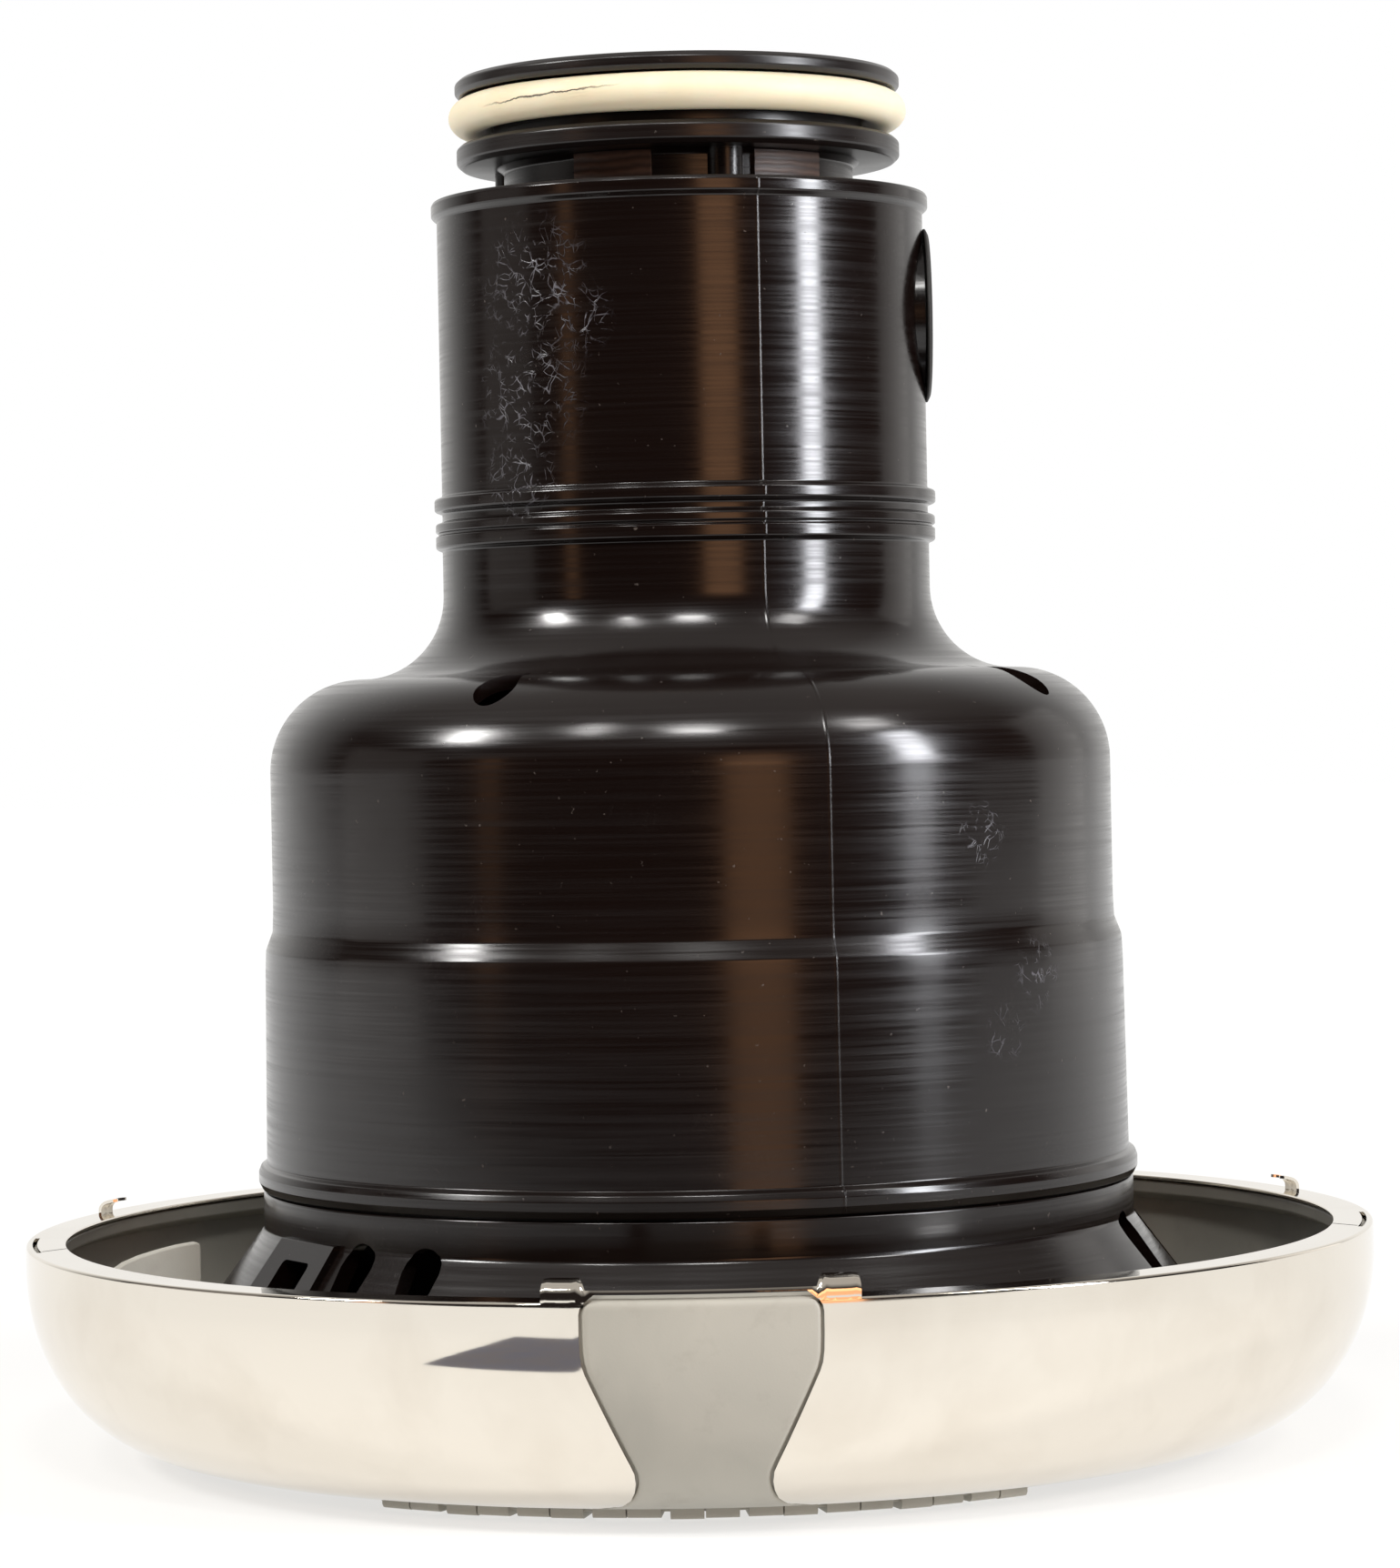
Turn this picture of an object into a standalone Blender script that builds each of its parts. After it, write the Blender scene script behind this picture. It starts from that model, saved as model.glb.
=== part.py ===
"""Food waste disposer for under a kitchen sink, standing on its base dish.

A black moulded casing holds a grinding chamber at the top and a motor below it. The neck at the
top goes up into the sink mount and carries a rubber sealing ring. The casing stands in a grey
dish wrapped in a polished steel shell. All sizes are in millimetres; the helpers turn them into
metres. The origin is on the turning axis, at the level of the feet.
"""

import math

import bmesh
import bpy
from mathutils import Matrix, Vector

MM = 0.001

# Driving dimensions
SIDES = 28            # facets of the casing and what nests in it
DISH_SIDES = 60       # facets of the dish and its steel shell
INNER_SIDES = 20      # facets of the motor and the grinding chamber
SMALL_SIDES = 16      # facets of shafts, bushes and bosses
PIN_SIDES = 10        # facets of pins, screws and bolts
CURVE_STEPS = 4       # straight steps in each of the casing's and the bowl's curves
GAP = 0.4             # clearance between pieces that touch
TOP_Z = 298.8         # top of the neck
NECK_R = 38.3
THROAT_R = 34.0
FLANGE_R = 48.8
CASING_TOP_Z = 271.0
HOPPER_R = 53.3
HOPPER_WALL = 3.0
MOTOR_R = 92.0
WALL = 3.0
FLARE_Z = 186.0       # where the hopper starts to flare into the motor casing
FLARE_ARC = 18.0
SHOULDER_ARC = 20.0
CASING_FOOT_Z = 57.6
OUTLET_Z = 245.6
OUTLET_BORE_R = 15.5
OUTLET_FLANGE_R = 19.0
OUTLET_WALL = 1.4      # wall of the short spigot round the outlet's bore
TURNTABLE_Z = 200.2
TURNTABLE_R = 38.3
LUG_PIVOT_R = 22.0
SHAFT_R = 6.2
BUSH_R = 6.6
FRAME_TOP_Z = 194.3
STATOR_LOW_Z = 93.4
STATOR_HIGH_Z = 141.4
STATOR_R = 75.0
ROTOR_R = 38.0
BOLT_CIRCLE_R = 79.5
SHELF_Z = 62.4        # the motor stands on this shelf in the skirt
RIM_Z = 47.2          # top of the steel shell's rim
RIM_R = 146.8
RIM_INNER_R = 138.2
SHEET = 0.8           # thickness of the steel shell
BOWL_Z = 41.4         # where the bowl's wall starts to curve in
BOWL_WIDE = 31.8      # the curve is a quarter of an ellipse, this wide and this high
BOWL_HIGH = 38.4
BOWL_R = RIM_R - BOWL_WIDE
DISH_WALL = 2.7
DISH_SCREW_R = 100.0
FOOT_R = 112.0
FOOT_HALF_ANGLE = 36.0
FOOT_LUGS = 9
RESET_X = 38.0        # the reset button's axis
RESET_Y = -30.0
FRONT = -90.0         # direction of the front window, in degrees about +Z from +X


# ---------------------------------------------------------------- helpers

def clear_scene():
    for obj in list(bpy.data.objects):
        bpy.data.objects.remove(obj, do_unlink=True)


def make_material(name, colour, roughness, metallic=0.0):
    material = bpy.data.materials.new(name)
    material.use_nodes = True
    shader = material.node_tree.nodes["Principled BSDF"]
    shader.inputs["Base Color"].default_value = (*colour, 1.0)
    shader.inputs["Roughness"].default_value = roughness
    shader.inputs["Metallic"].default_value = metallic
    material.diffuse_color = (*colour, 1.0)
    return material


def add_object(name, bm, material, centre=(0, 0, 0)):
    """Turn a bmesh in millimetres into an object. Its origin is put at centre, in millimetres."""
    bmesh.ops.remove_doubles(bm, verts=bm.verts, dist=1e-5)
    bmesh.ops.recalc_face_normals(bm, faces=bm.faces)
    bmesh.ops.transform(bm, matrix=Matrix.Scale(MM, 4), verts=bm.verts)
    mesh = bpy.data.meshes.new(name)
    bm.to_mesh(mesh)
    bm.free()
    mesh.shade_smooth()
    mesh.set_sharp_from_angle(angle=math.radians(35))
    mesh.materials.append(material)
    obj = bpy.data.objects.new(name, mesh)
    obj.location = Vector(centre) * MM
    bpy.context.scene.collection.objects.link(obj)
    return obj


def polar(radius, degrees, z=0.0):
    angle = math.radians(degrees)
    return Vector((radius * math.cos(angle), radius * math.sin(angle), z))


def arc(centre_r, centre_z, radius, start, end, steps):
    """Points of an arc in the (radius, height) plane, from start to end degrees."""
    turns = [math.radians(start + (end - start) * i / steps) for i in range(steps + 1)]
    return [(centre_r + radius * math.cos(t), centre_z + radius * math.sin(t)) for t in turns]


def turn_profile(bm, profile, sides=SIDES, start=0.0, sweep=360.0):
    """Revolve a closed outline of (radius, height) points about Z. A part turn gets end faces."""
    full = sweep >= 360.0
    rings = sides if full else sides + 1
    loops = []
    for i in range(rings):
        loops.append([bm.verts.new(polar(r, start + sweep * i / sides, z)) for r, z in profile])
    count = len(profile)
    for i in range(sides):
        first, second = loops[i], loops[(i + 1) % rings]
        for j in range(count):
            k = (j + 1) % count
            if profile[j][0] == 0 and profile[k][0] == 0:
                continue
            bm.faces.new([first[j], first[k], second[k], second[j]])
    if not full:
        bm.faces.new(loops[0])
        bm.faces.new(reversed(loops[-1]))
    return bm


def turned(name, profile, material, sides=SIDES, start=0.0, sweep=360.0, centre=(0, 0, 0)):
    return add_object(name, turn_profile(bmesh.new(), profile, sides, start, sweep), material, centre)


def add_prism(bm, outline, low, high, matrix=None):
    """Extrude a flat outline of (x, y) points from low to high, then place it with matrix."""
    bottom = [bm.verts.new((x, y, low)) for x, y in outline]
    top = [bm.verts.new((x, y, high)) for x, y in outline]
    count = len(outline)
    bm.faces.new(list(reversed(bottom)))
    bm.faces.new(top)
    for i in range(count):
        j = (i + 1) % count
        bm.faces.new([bottom[i], bottom[j], top[j], top[i]])
    if matrix is not None:
        bmesh.ops.transform(bm, matrix=matrix, verts=bottom + top)
    return bm


def circle(radius, sides=SMALL_SIDES, centre=(0.0, 0.0), turn=0.0):
    return [
        (centre[0] + radius * math.cos(turn + 2 * math.pi * i / sides),
         centre[1] + radius * math.sin(turn + 2 * math.pi * i / sides))
        for i in range(sides)
    ]


def rectangle(x_low, x_high, y_low, y_high):
    return [(x_low, y_low), (x_high, y_low), (x_high, y_high), (x_low, y_high)]


def slot_outline(width, low, high, steps=3):
    """A slot with a round top and a narrower round foot, from low to high along y."""
    top_r = width / 2
    foot_r = width / 3.4
    points = []
    for i in range(steps + 1):
        angle = math.pi * i / steps
        points.append((top_r * math.cos(angle), high - top_r + top_r * math.sin(angle)))
    for i in range(steps + 1):
        angle = math.pi + math.pi * i / steps
        points.append((foot_r * math.cos(angle), low + foot_r + foot_r * math.sin(angle)))
    return points


def facing(degrees):
    """Matrix that lays a prism's Z along the outward direction at that angle, its Y upwards."""
    return Matrix.Rotation(math.radians(degrees), 4, "Z") @ Matrix(
        ((0, 0, 1, 0), (1, 0, 0, 0), (0, 1, 0, 0), (0, 0, 0, 1))
    )


def around(degrees):
    return Matrix.Rotation(math.radians(degrees), 4, "Z")


def combine(target, tool_bm, operation):
    """Join to, cut from or keep of target a tool drawn about the target's own origin."""
    tool = add_object(f"{target.name}_{operation.lower()}_{len(target.modifiers)}", tool_bm,
                      target.data.materials[0])
    tool.location = target.location
    return combine_object(target, tool, operation)


def combine_object(target, tool, operation):
    tool.hide_render = True
    tool.display_type = "WIRE"
    modifier = target.modifiers.new(f"{operation.title()} {len(target.modifiers)}", "BOOLEAN")
    modifier.operation = operation
    modifier.solver = "EXACT"
    modifier.object = tool
    return target


def cut(target, tool_bm):
    return combine(target, tool_bm, "DIFFERENCE")


def join(target, tool_bm):
    return combine(target, tool_bm, "UNION")


# ---------------------------------------------------------------- casing

def flare_and_shoulder(offset):
    """The casing's curve from the hopper out to the motor barrel, moved inwards by offset."""
    flare = arc(HOPPER_R + 0.1 + FLARE_ARC, FLARE_Z, FLARE_ARC + offset, 180, 270, CURVE_STEPS)
    shoulder_z = FLARE_Z - FLARE_ARC - SHOULDER_ARC
    shoulder = arc(MOTOR_R - SHOULDER_ARC, shoulder_z, SHOULDER_ARC - offset, 90, 0, CURVE_STEPS)
    return flare + shoulder


def teardrop(radius, tail, steps=6):
    """A round end at the origin with a tail that points to -x."""
    points = [(-tail, 0.0)]
    for i in range(steps + 1):
        angle = math.radians(-115 + 230 * i / steps)
        points.append((radius * math.cos(angle), radius * math.sin(angle)))
    return points


def make_casing(black):
    """One moulding: top plate, hopper wall with its ribs, flare, shoulder and motor barrel."""
    hopper_inner = HOPPER_R - HOPPER_WALL
    outer = [
        (NECK_R + 0.8, CASING_TOP_Z), (HOPPER_R - 0.5, CASING_TOP_Z),
        (53.4, 272.0), (54.1, 272.0), (54.5, 271.4), (54.5, 268.8), (HOPPER_R, 267.8),
        (HOPPER_R, 207.5), (55.0, 207.1), (55.0, 204.3), (HOPPER_R, 203.9),
        (HOPPER_R, 202.0), (54.8, 201.6), (54.8, 196.2), (HOPPER_R + 0.1, 195.8),
    ]
    barrel = [
        (MOTOR_R + 0.2, 115.0), (93.9, 107.0), (94.4, 62.8), (95.8, 62.3), (96.2, 61.4),
        (96.2, 59.2), (95.4, CASING_FOOT_Z),
    ]
    inner = [
        (91.2, CASING_FOOT_Z), (91.0, 106.4), (MOTOR_R + 0.2 - WALL, 114.4),
    ]
    top = [(hopper_inner, CASING_TOP_Z - 3.4), (NECK_R + 0.8, CASING_TOP_Z - 3.4)]
    rising = list(reversed(flare_and_shoulder(WALL)))
    casing = turned("body_shell", outer + flare_and_shoulder(0) + barrel + inner + rising + top, black)

    spigot = circle(OUTLET_BORE_R + OUTLET_WALL, 24, (0, OUTLET_Z))
    join(casing, add_prism(bmesh.new(), spigot, 47.5, 52.9, facing(0)))
    landing = add_prism(bmesh.new(), circle(OUTLET_FLANGE_R + 0.4, 24, (0, OUTLET_Z)), 52.9, 60, facing(0))
    cut(casing, landing)
    cut(casing, add_prism(bmesh.new(), circle(OUTLET_BORE_R, 24, (0, OUTLET_Z)), 40, 60, facing(0)))

    vents = bmesh.new()
    for i in range(4):
        place = around(FRONT - 29 + 90 * i) @ Matrix.Translation((82.0, 0, 0))
        add_prism(vents, teardrop(4.6, 14.5), 150, 175, place)
    cut(casing, vents)
    return casing


def make_neck(black):
    """The inlet neck: two flanges with the sealing ring's groove between them, and a collar below."""
    profile = [
        (THROAT_R + 1.6, TOP_Z), (47.4, TOP_Z), (FLANGE_R, TOP_Z - 1.2), (FLANGE_R, 295.9),
        (48.0, 295.0), (40.4, 295.0), (40.4, 284.4), (47.8, 284.4), (48.6, 283.6), (48.6, 280.4),
        (47.6, 279.4), (39.6, 279.4), (NECK_R, 278.4), (NECK_R, 267.2), (46.0, 267.2),
        (46.0, 263.8), (NECK_R, 263.8), (NECK_R, 259.8), (THROAT_R, 259.8), (THROAT_R, TOP_Z - 1.8),
    ]
    neck = turned("mounting_neck", profile, black)
    ribs = bmesh.new()
    for i in range(3):
        column = circle(3.9, 10, (NECK_R - 0.3, 0.0))
        add_prism(ribs, column, 271.6, 280.0, around(FRONT + 14 + 120 * i))
        pad = [(NECK_R - 1.2, 271.6), (NECK_R + 1.0, 271.6), (NECK_R + 1.0, 280.0), (NECK_R - 1.2, 280.0)]
        turn_profile(ribs, pad, 6, FRONT + 22 + 120 * i, 29)
    join(neck, ribs)
    return neck


def make_seal_ring(cream):
    """Fat rubber ring stretched over the neck, squeezed a little flat by its groove."""
    centre_r, centre_z, half_width, half_height, steps = 45.5, 290.7, 4.9, 4.0, 10
    section = []
    for i in range(steps):
        angle = 2 * math.pi * i / steps
        section.append((centre_r + half_width * math.cos(angle), centre_z + half_height * math.sin(angle)))
    return turned("mount_seal_ring", section, cream)


def make_splash_guard(rubber):
    """Rubber baffle in the throat, slit into eight flaps."""
    profile = [
        (33.5, 296.2), (33.5, 286.0), (30.0, 286.0), (20.0, 283.6), (9.0, 281.2), (9.0, 283.0),
        (20.0, 286.0), (29.0, 288.6), (31.2, 291.0), (31.2, 296.2),
    ]
    guard = turned("splash_guard", profile, rubber, INNER_SIDES)
    slits = bmesh.new()
    for i in range(4):
        add_prism(slits, rectangle(-27.5, 27.5, -0.5, 0.5), 270, 300, around(22.5 + 45 * i))
    cut(guard, slits)
    return guard


def make_outlet_gasket(rubber):
    """Rubber ring with a flange, pushed into the outlet for the waste pipe to seal against."""
    profile = [(13.0, 49.4), (15.0, 49.4), (15.0, 53.3), (OUTLET_FLANGE_R, 53.3),
               (OUTLET_FLANGE_R, 53.8), (OUTLET_FLANGE_R - 1.2, 54.4), (13.0, 54.4)]
    bm = turn_profile(bmesh.new(), profile, 24)
    place = Matrix.Translation((0, 0, OUTLET_Z)) @ Matrix.Rotation(math.radians(90), 4, "Y")
    bmesh.ops.transform(bm, matrix=place, verts=bm.verts)
    return add_object("outlet_gasket", bm, rubber)


# ---------------------------------------------------------------- grinding chamber

def make_chamber(steel, rubber):
    gasket = [(39.4, 262.8), (46.0, 262.8), (46.0, 263.5), (39.4, 263.5)]
    turned("chamber_gasket", gasket, rubber, INNER_SIDES)
    liner = [(40.8, 209.2), (42.0, 209.2), (42.0, 261.3), (46.0, 261.3), (46.0, 262.5), (40.8, 262.5)]
    turned("grind_liner", liner, steel, INNER_SIDES)

    band = [(39.2, 198.6), (42.0, 198.6), (42.0, 208.8), (39.2, 208.8)]
    ring = turned("shredder_ring", band, steel, INNER_SIDES)
    legs = bmesh.new()
    for i in range(4):
        leg = [(39.5, 194.7), (41.6, 194.7), (41.6, 199.2), (39.5, 199.2)]
        turn_profile(legs, leg, 3, 45 + 90 * i - 9, 18)
    join(ring, legs)
    grooves = bmesh.new()
    groove_count = 16
    for i in range(groove_count):
        place = around(360 * (i + 0.5) / groove_count)
        add_prism(grooves, rectangle(37.0, 40.8, -1.5, 1.5), 190, 206.4, place)
    cut(ring, grooves)


def make_turntable(steel):
    """Grinding disc with drain holes near its edge and two pump vanes below."""
    low, high = TURNTABLE_Z, TURNTABLE_Z + 2.6
    profile = [(5.4, low), (TURNTABLE_R, low), (TURNTABLE_R, high), (5.4, high)]
    disc = turned("turntable", profile, steel, INNER_SIDES)
    vanes = bmesh.new()
    for i in range(2):
        add_prism(vanes, rectangle(18.0, 36.5, -1.2, 1.2), low - 3.4, low + 0.6, around(90 + 180 * i))
    join(disc, vanes)
    holes = bmesh.new()
    for i in range(2):
        place = around(180 * i) @ Matrix.Translation((LUG_PIVOT_R, 0, 0))
        add_prism(holes, circle(3.0), low - 5, high + 5, place)
    for i in range(8):
        place = around(22.5 + 45 * i) @ Matrix.Translation((32.5, 0, 0))
        add_prism(holes, circle(1.9, PIN_SIDES), low - 5, high + 5, place)
    cut(disc, holes)

    nut = add_prism(bmesh.new(), circle(6.3, 6), high + GAP, high + 4.6)
    turntable_nut = add_object("turntable_nut", nut, steel)
    cut(turntable_nut, add_prism(bmesh.new(), circle(4.4), high - 5, high + 10))


def lug_outline(steps=5):
    """Hammer seen from above, its pin at the origin: a round heel and a blunt square nose."""
    heel = arc(-1.0, 0.0, 6.4, 100, 260, steps)
    return heel + [(11.0, -6.0), (13.2, -3.0), (13.2, 3.0), (11.0, 6.0)]


def make_lugs(steel):
    """Two cast hammers that swing freely on their pins. They throw food against the ring."""
    low = TURNTABLE_Z + 2.6 + GAP
    top = low + 7.0 + GAP
    pin = [(0, TURNTABLE_Z - 2.4), (4.2, TURNTABLE_Z - 2.4), (4.2, TURNTABLE_Z - GAP),
           (2.6, TURNTABLE_Z - GAP), (2.6, top), (4.2, top), (4.0, top + 1.2),
            (2.0, top + 2.0), (0, top + 2.0)]
    for name, direction in (("a", 0), ("b", 180)):
        centre = polar(LUG_PIVOT_R, direction)
        lug = add_prism(bmesh.new(), lug_outline(), low, low + 7.0, around(direction))
        lug_object = add_object(f"swivel_lug_{name}", lug, steel, centre)
        tooth = rectangle(7.5, 12.6, -4.6, 4.6)
        join(lug_object, add_prism(bmesh.new(), tooth, low + 5.0, low + 10.0, around(direction)))
        cut(lug_object, add_prism(bmesh.new(), circle(2.95), low - 5, low + 15))
        turned(f"lug_pin_{name}", pin, steel, PIN_SIDES, centre=centre)


# ---------------------------------------------------------------- motor

def make_upper_frame(aluminium, rubber, bronze):
    """Casting that closes the chamber, holds the seal and upper bush, and clamps the stator."""
    profile = [
        (12.2, FRAME_TOP_Z), (49.8, FRAME_TOP_Z), (49.8, 185.4), (51.4, 177.0), (57.0, 169.0),
        (64.0, 163.6), (72.0, 160.4), (84.0, 153.6), (84.0, STATOR_HIGH_Z + GAP),
        (70.0, STATOR_HIGH_Z + GAP), (70.0, 154.6), (62.0, 160.4), (54.0, 167.0), (48.0, 176.0),
        (46.0, 186.6), (14.0, 186.6), (14.0, 173.4), (10.2, 173.4), (10.2, 188.0), (12.2, 188.0),
    ]
    frame = turned("upper_end_frame", profile, aluminium, INNER_SIDES)
    tools = bmesh.new()
    for i in range(4):
        add_prism(tools, rectangle(-15, 15, 163.4, 182.0), 30, 100, facing(90 * i))
        place = around(45 + 90 * i) @ Matrix.Translation((BOLT_CIRCLE_R, 0, 0))
        add_prism(tools, circle(2.5, PIN_SIDES), 130, 151.6, place)
    cut(frame, tools)

    seal = [(7.0, 188.4), (11.7, 188.4), (11.7, 194.0), (9.6, 194.0),
            (6.7, 192.6), (6.7, 191.4), (9.0, 190.4)]
    turned("shaft_seal", seal, rubber, SMALL_SIDES)
    bush = [(BUSH_R, 174.0), (9.7, 174.0), (9.7, 187.6), (BUSH_R, 187.6)]
    turned("upper_bush", bush, bronze, SMALL_SIDES)
    slinger = [(6.5, 195.0), (15.0, 195.9), (15.0, 196.7), (6.5, 197.2)]
    turned("water_slinger", slinger, rubber, SMALL_SIDES)


def make_shaft(steel):
    """Motor shaft. Its hexagonal foot takes a wrench, to free a jammed turntable by hand."""
    seat, thread_foot, thread_tip = TURNTABLE_Z - 0.3, TURNTABLE_Z + 2.7, TURNTABLE_Z + 7.4
    profile = [(0, 34.0), (SHAFT_R, 34.0), (SHAFT_R, seat), (5.0, seat), (5.0, thread_foot),
               (4.0, thread_foot), (4.0, thread_tip), (0, thread_tip)]
    shaft = turned("motor_shaft", profile, steel, SMALL_SIDES)
    join(shaft, add_prism(bmesh.new(), circle(5.8, 6), 20.0, 36.0))


def make_rotor(iron, nylon):
    low, high = STATOR_LOW_Z, STATOR_HIGH_Z
    ring = 6.0
    profile = [(BUSH_R, low), (22.0, low), (22.0, low - ring), (35.5, low - ring), (35.5, low),
               (ROTOR_R, low), (ROTOR_R, high), (35.5, high), (35.5, high + ring),
               (22.0, high + ring), (22.0, high), (BUSH_R, high)]
    turned("rotor_core", profile, iron, INNER_SIDES)

    fan = turned("cooling_fan", [(BUSH_R, 151.0), (43.0, 151.0), (43.0, 152.4), (12.0, 152.4),
                                 (12.0, 162.0), (BUSH_R, 162.0)], nylon, INNER_SIDES)
    blades = bmesh.new()
    blade_count = 9
    for i in range(blade_count):
        add_prism(blades, rectangle(11.0, 42.0, -0.8, 0.8), 151.6, 160.6, around(360 * i / blade_count))
    join(fan, blades)


def make_stator(iron, copper):
    low, high = STATOR_LOW_Z, STATOR_HIGH_Z
    profile = [(ROTOR_R + 0.8, low), (STATOR_R, low), (STATOR_R, high), (ROTOR_R + 0.8, high)]
    core = turned("stator_core", profile, iron, INNER_SIDES)
    slots = bmesh.new()
    slot_count = 12
    for i in range(slot_count):
        place = around(360 * (i + 0.5) / slot_count)
        add_prism(slots, rectangle(36.0, 56.0, -3.4, 3.4), low - 5, high + 5, place)
    cut(core, slots)
    for name, base, sign in (("winding_upper", high + GAP, 1), ("winding_lower", low - GAP, -1)):
        section = [(46.0, 0.0), (66.0, 0.0), (67.0, 5.0), (64.0, 13.0),
                   (57.0, 16.0), (49.0, 13.0), (45.4, 5.0)]
        turned(name, [(r, base + sign * z) for r, z in section], copper, INNER_SIDES)


def make_lower_frame(aluminium, bronze, steel):
    """Casting under the stator. It holds the lower bush and stands on the skirt's shelf."""
    foot = SHELF_Z + GAP
    profile = [
        (70.0, STATOR_LOW_Z - GAP), (84.0, STATOR_LOW_Z - GAP), (84.0, foot), (58.0, foot),
        (54.0, 66.0), (14.5, 66.0), (14.5, 55.4), (10.2, 55.4), (10.2, 71.4), (66.0, 71.4), (70.0, 75.4),
    ]
    frame = turned("lower_end_frame", profile, aluminium, INNER_SIDES)
    tools = bmesh.new()
    for i in range(4):
        place = around(45 + 90 * i) @ Matrix.Translation((BOLT_CIRCLE_R, 0, 0))
        add_prism(tools, circle(2.5, PIN_SIDES), 50, 100, place)
    for i in range(6):
        add_prism(tools, circle(9.0), 50, 80, around(60 * i) @ Matrix.Translation((37.0, 0, 0)))
    cut(frame, tools)
    turned("lower_bush", [(BUSH_R, 56.0), (9.7, 56.0), (9.7, 71.0), (BUSH_R, 71.0)], bronze, SMALL_SIDES)
    washer = [(BUSH_R, 72.2), (13.0, 72.2), (13.0, 73.4), (BUSH_R, 73.4)]
    turned("thrust_washer", washer, bronze, SMALL_SIDES)
    bolt = [(0, 51.8), (4.0, 51.8), (4.0, 55.6), (1.9, 55.6), (1.9, 151.0), (0, 151.0)]
    for i in range(4):
        turned(f"tie_bolt_{i + 1}", bolt, steel, PIN_SIDES, centre=polar(BOLT_CIRCLE_R, 45 + 90 * i))


# ---------------------------------------------------------------- skirt and electrics

CONE_TOP = (95.2, 49.0)
CONE_FOOT = (119.4, 16.6)


def make_skirt(black):
    """Lower end bell: spigot in the casing, shelf for the motor, and a vented cone below."""
    profile = [
        (87.8, 69.0), (90.6, 69.0), (90.6, CASING_FOOT_Z - GAP), (95.2, CASING_FOOT_Z - GAP),
        CONE_TOP, CONE_FOOT, (121.0, 15.6), (121.0, 12.6), (95.0, 12.6), (95.0, 15.2),
        (115.4, 15.2), (91.8, 47.4), (91.8, 52.0), (86.0, 57.0), (70.0, 57.0),
        (70.0, SHELF_Z), (87.8, SHELF_Z),
    ]
    skirt = turned("lower_skirt", profile, black)
    openings = bmesh.new()
    for degrees in skirt_vent_angles():
        add_prism(openings, slot_outline(8.4, 30.0, 51.0), 80, 125, facing(degrees))
    add_prism(openings, rectangle(-5.0, 5.0, 24.0, 43.0), 80, 125, facing(FRONT - 59))
    for i in range(4):
        place = around(45 + 90 * i)
        bolt_place = place @ Matrix.Translation((BOLT_CIRCLE_R, 0, 0))
        add_prism(openings, circle(2.5, PIN_SIDES), 40, 80, bolt_place)
        add_prism(openings, circle(2.1, PIN_SIDES), 5, 20, place @ Matrix.Translation((DISH_SCREW_R, 0, 0)))
    cut(skirt, openings)
    return skirt


def skirt_vent_angles():
    """Vents run round the back and sides. The front quarter is plain."""
    left = [FRONT - 36, FRONT - 47]
    spaced = [FRONT + 72 + 15 * i for i in range(14)]
    return left + spaced


def make_bottom_cover(black):
    """Plate that closes the skirt's foot, with holes for the wrench and the reset button."""
    profile = [(13.0, 16.0), (92.0, 16.0), (92.0, 13.4), (94.2, 13.4), (94.2, 15.6), (97.6, 15.6),
               (97.6, 18.4), (13.0, 18.4)]
    cover = turned("bottom_cover", profile, black)
    cut(cover, add_prism(bmesh.new(), circle(8.0, centre=(RESET_X, RESET_Y)), 10, 30))


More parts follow.
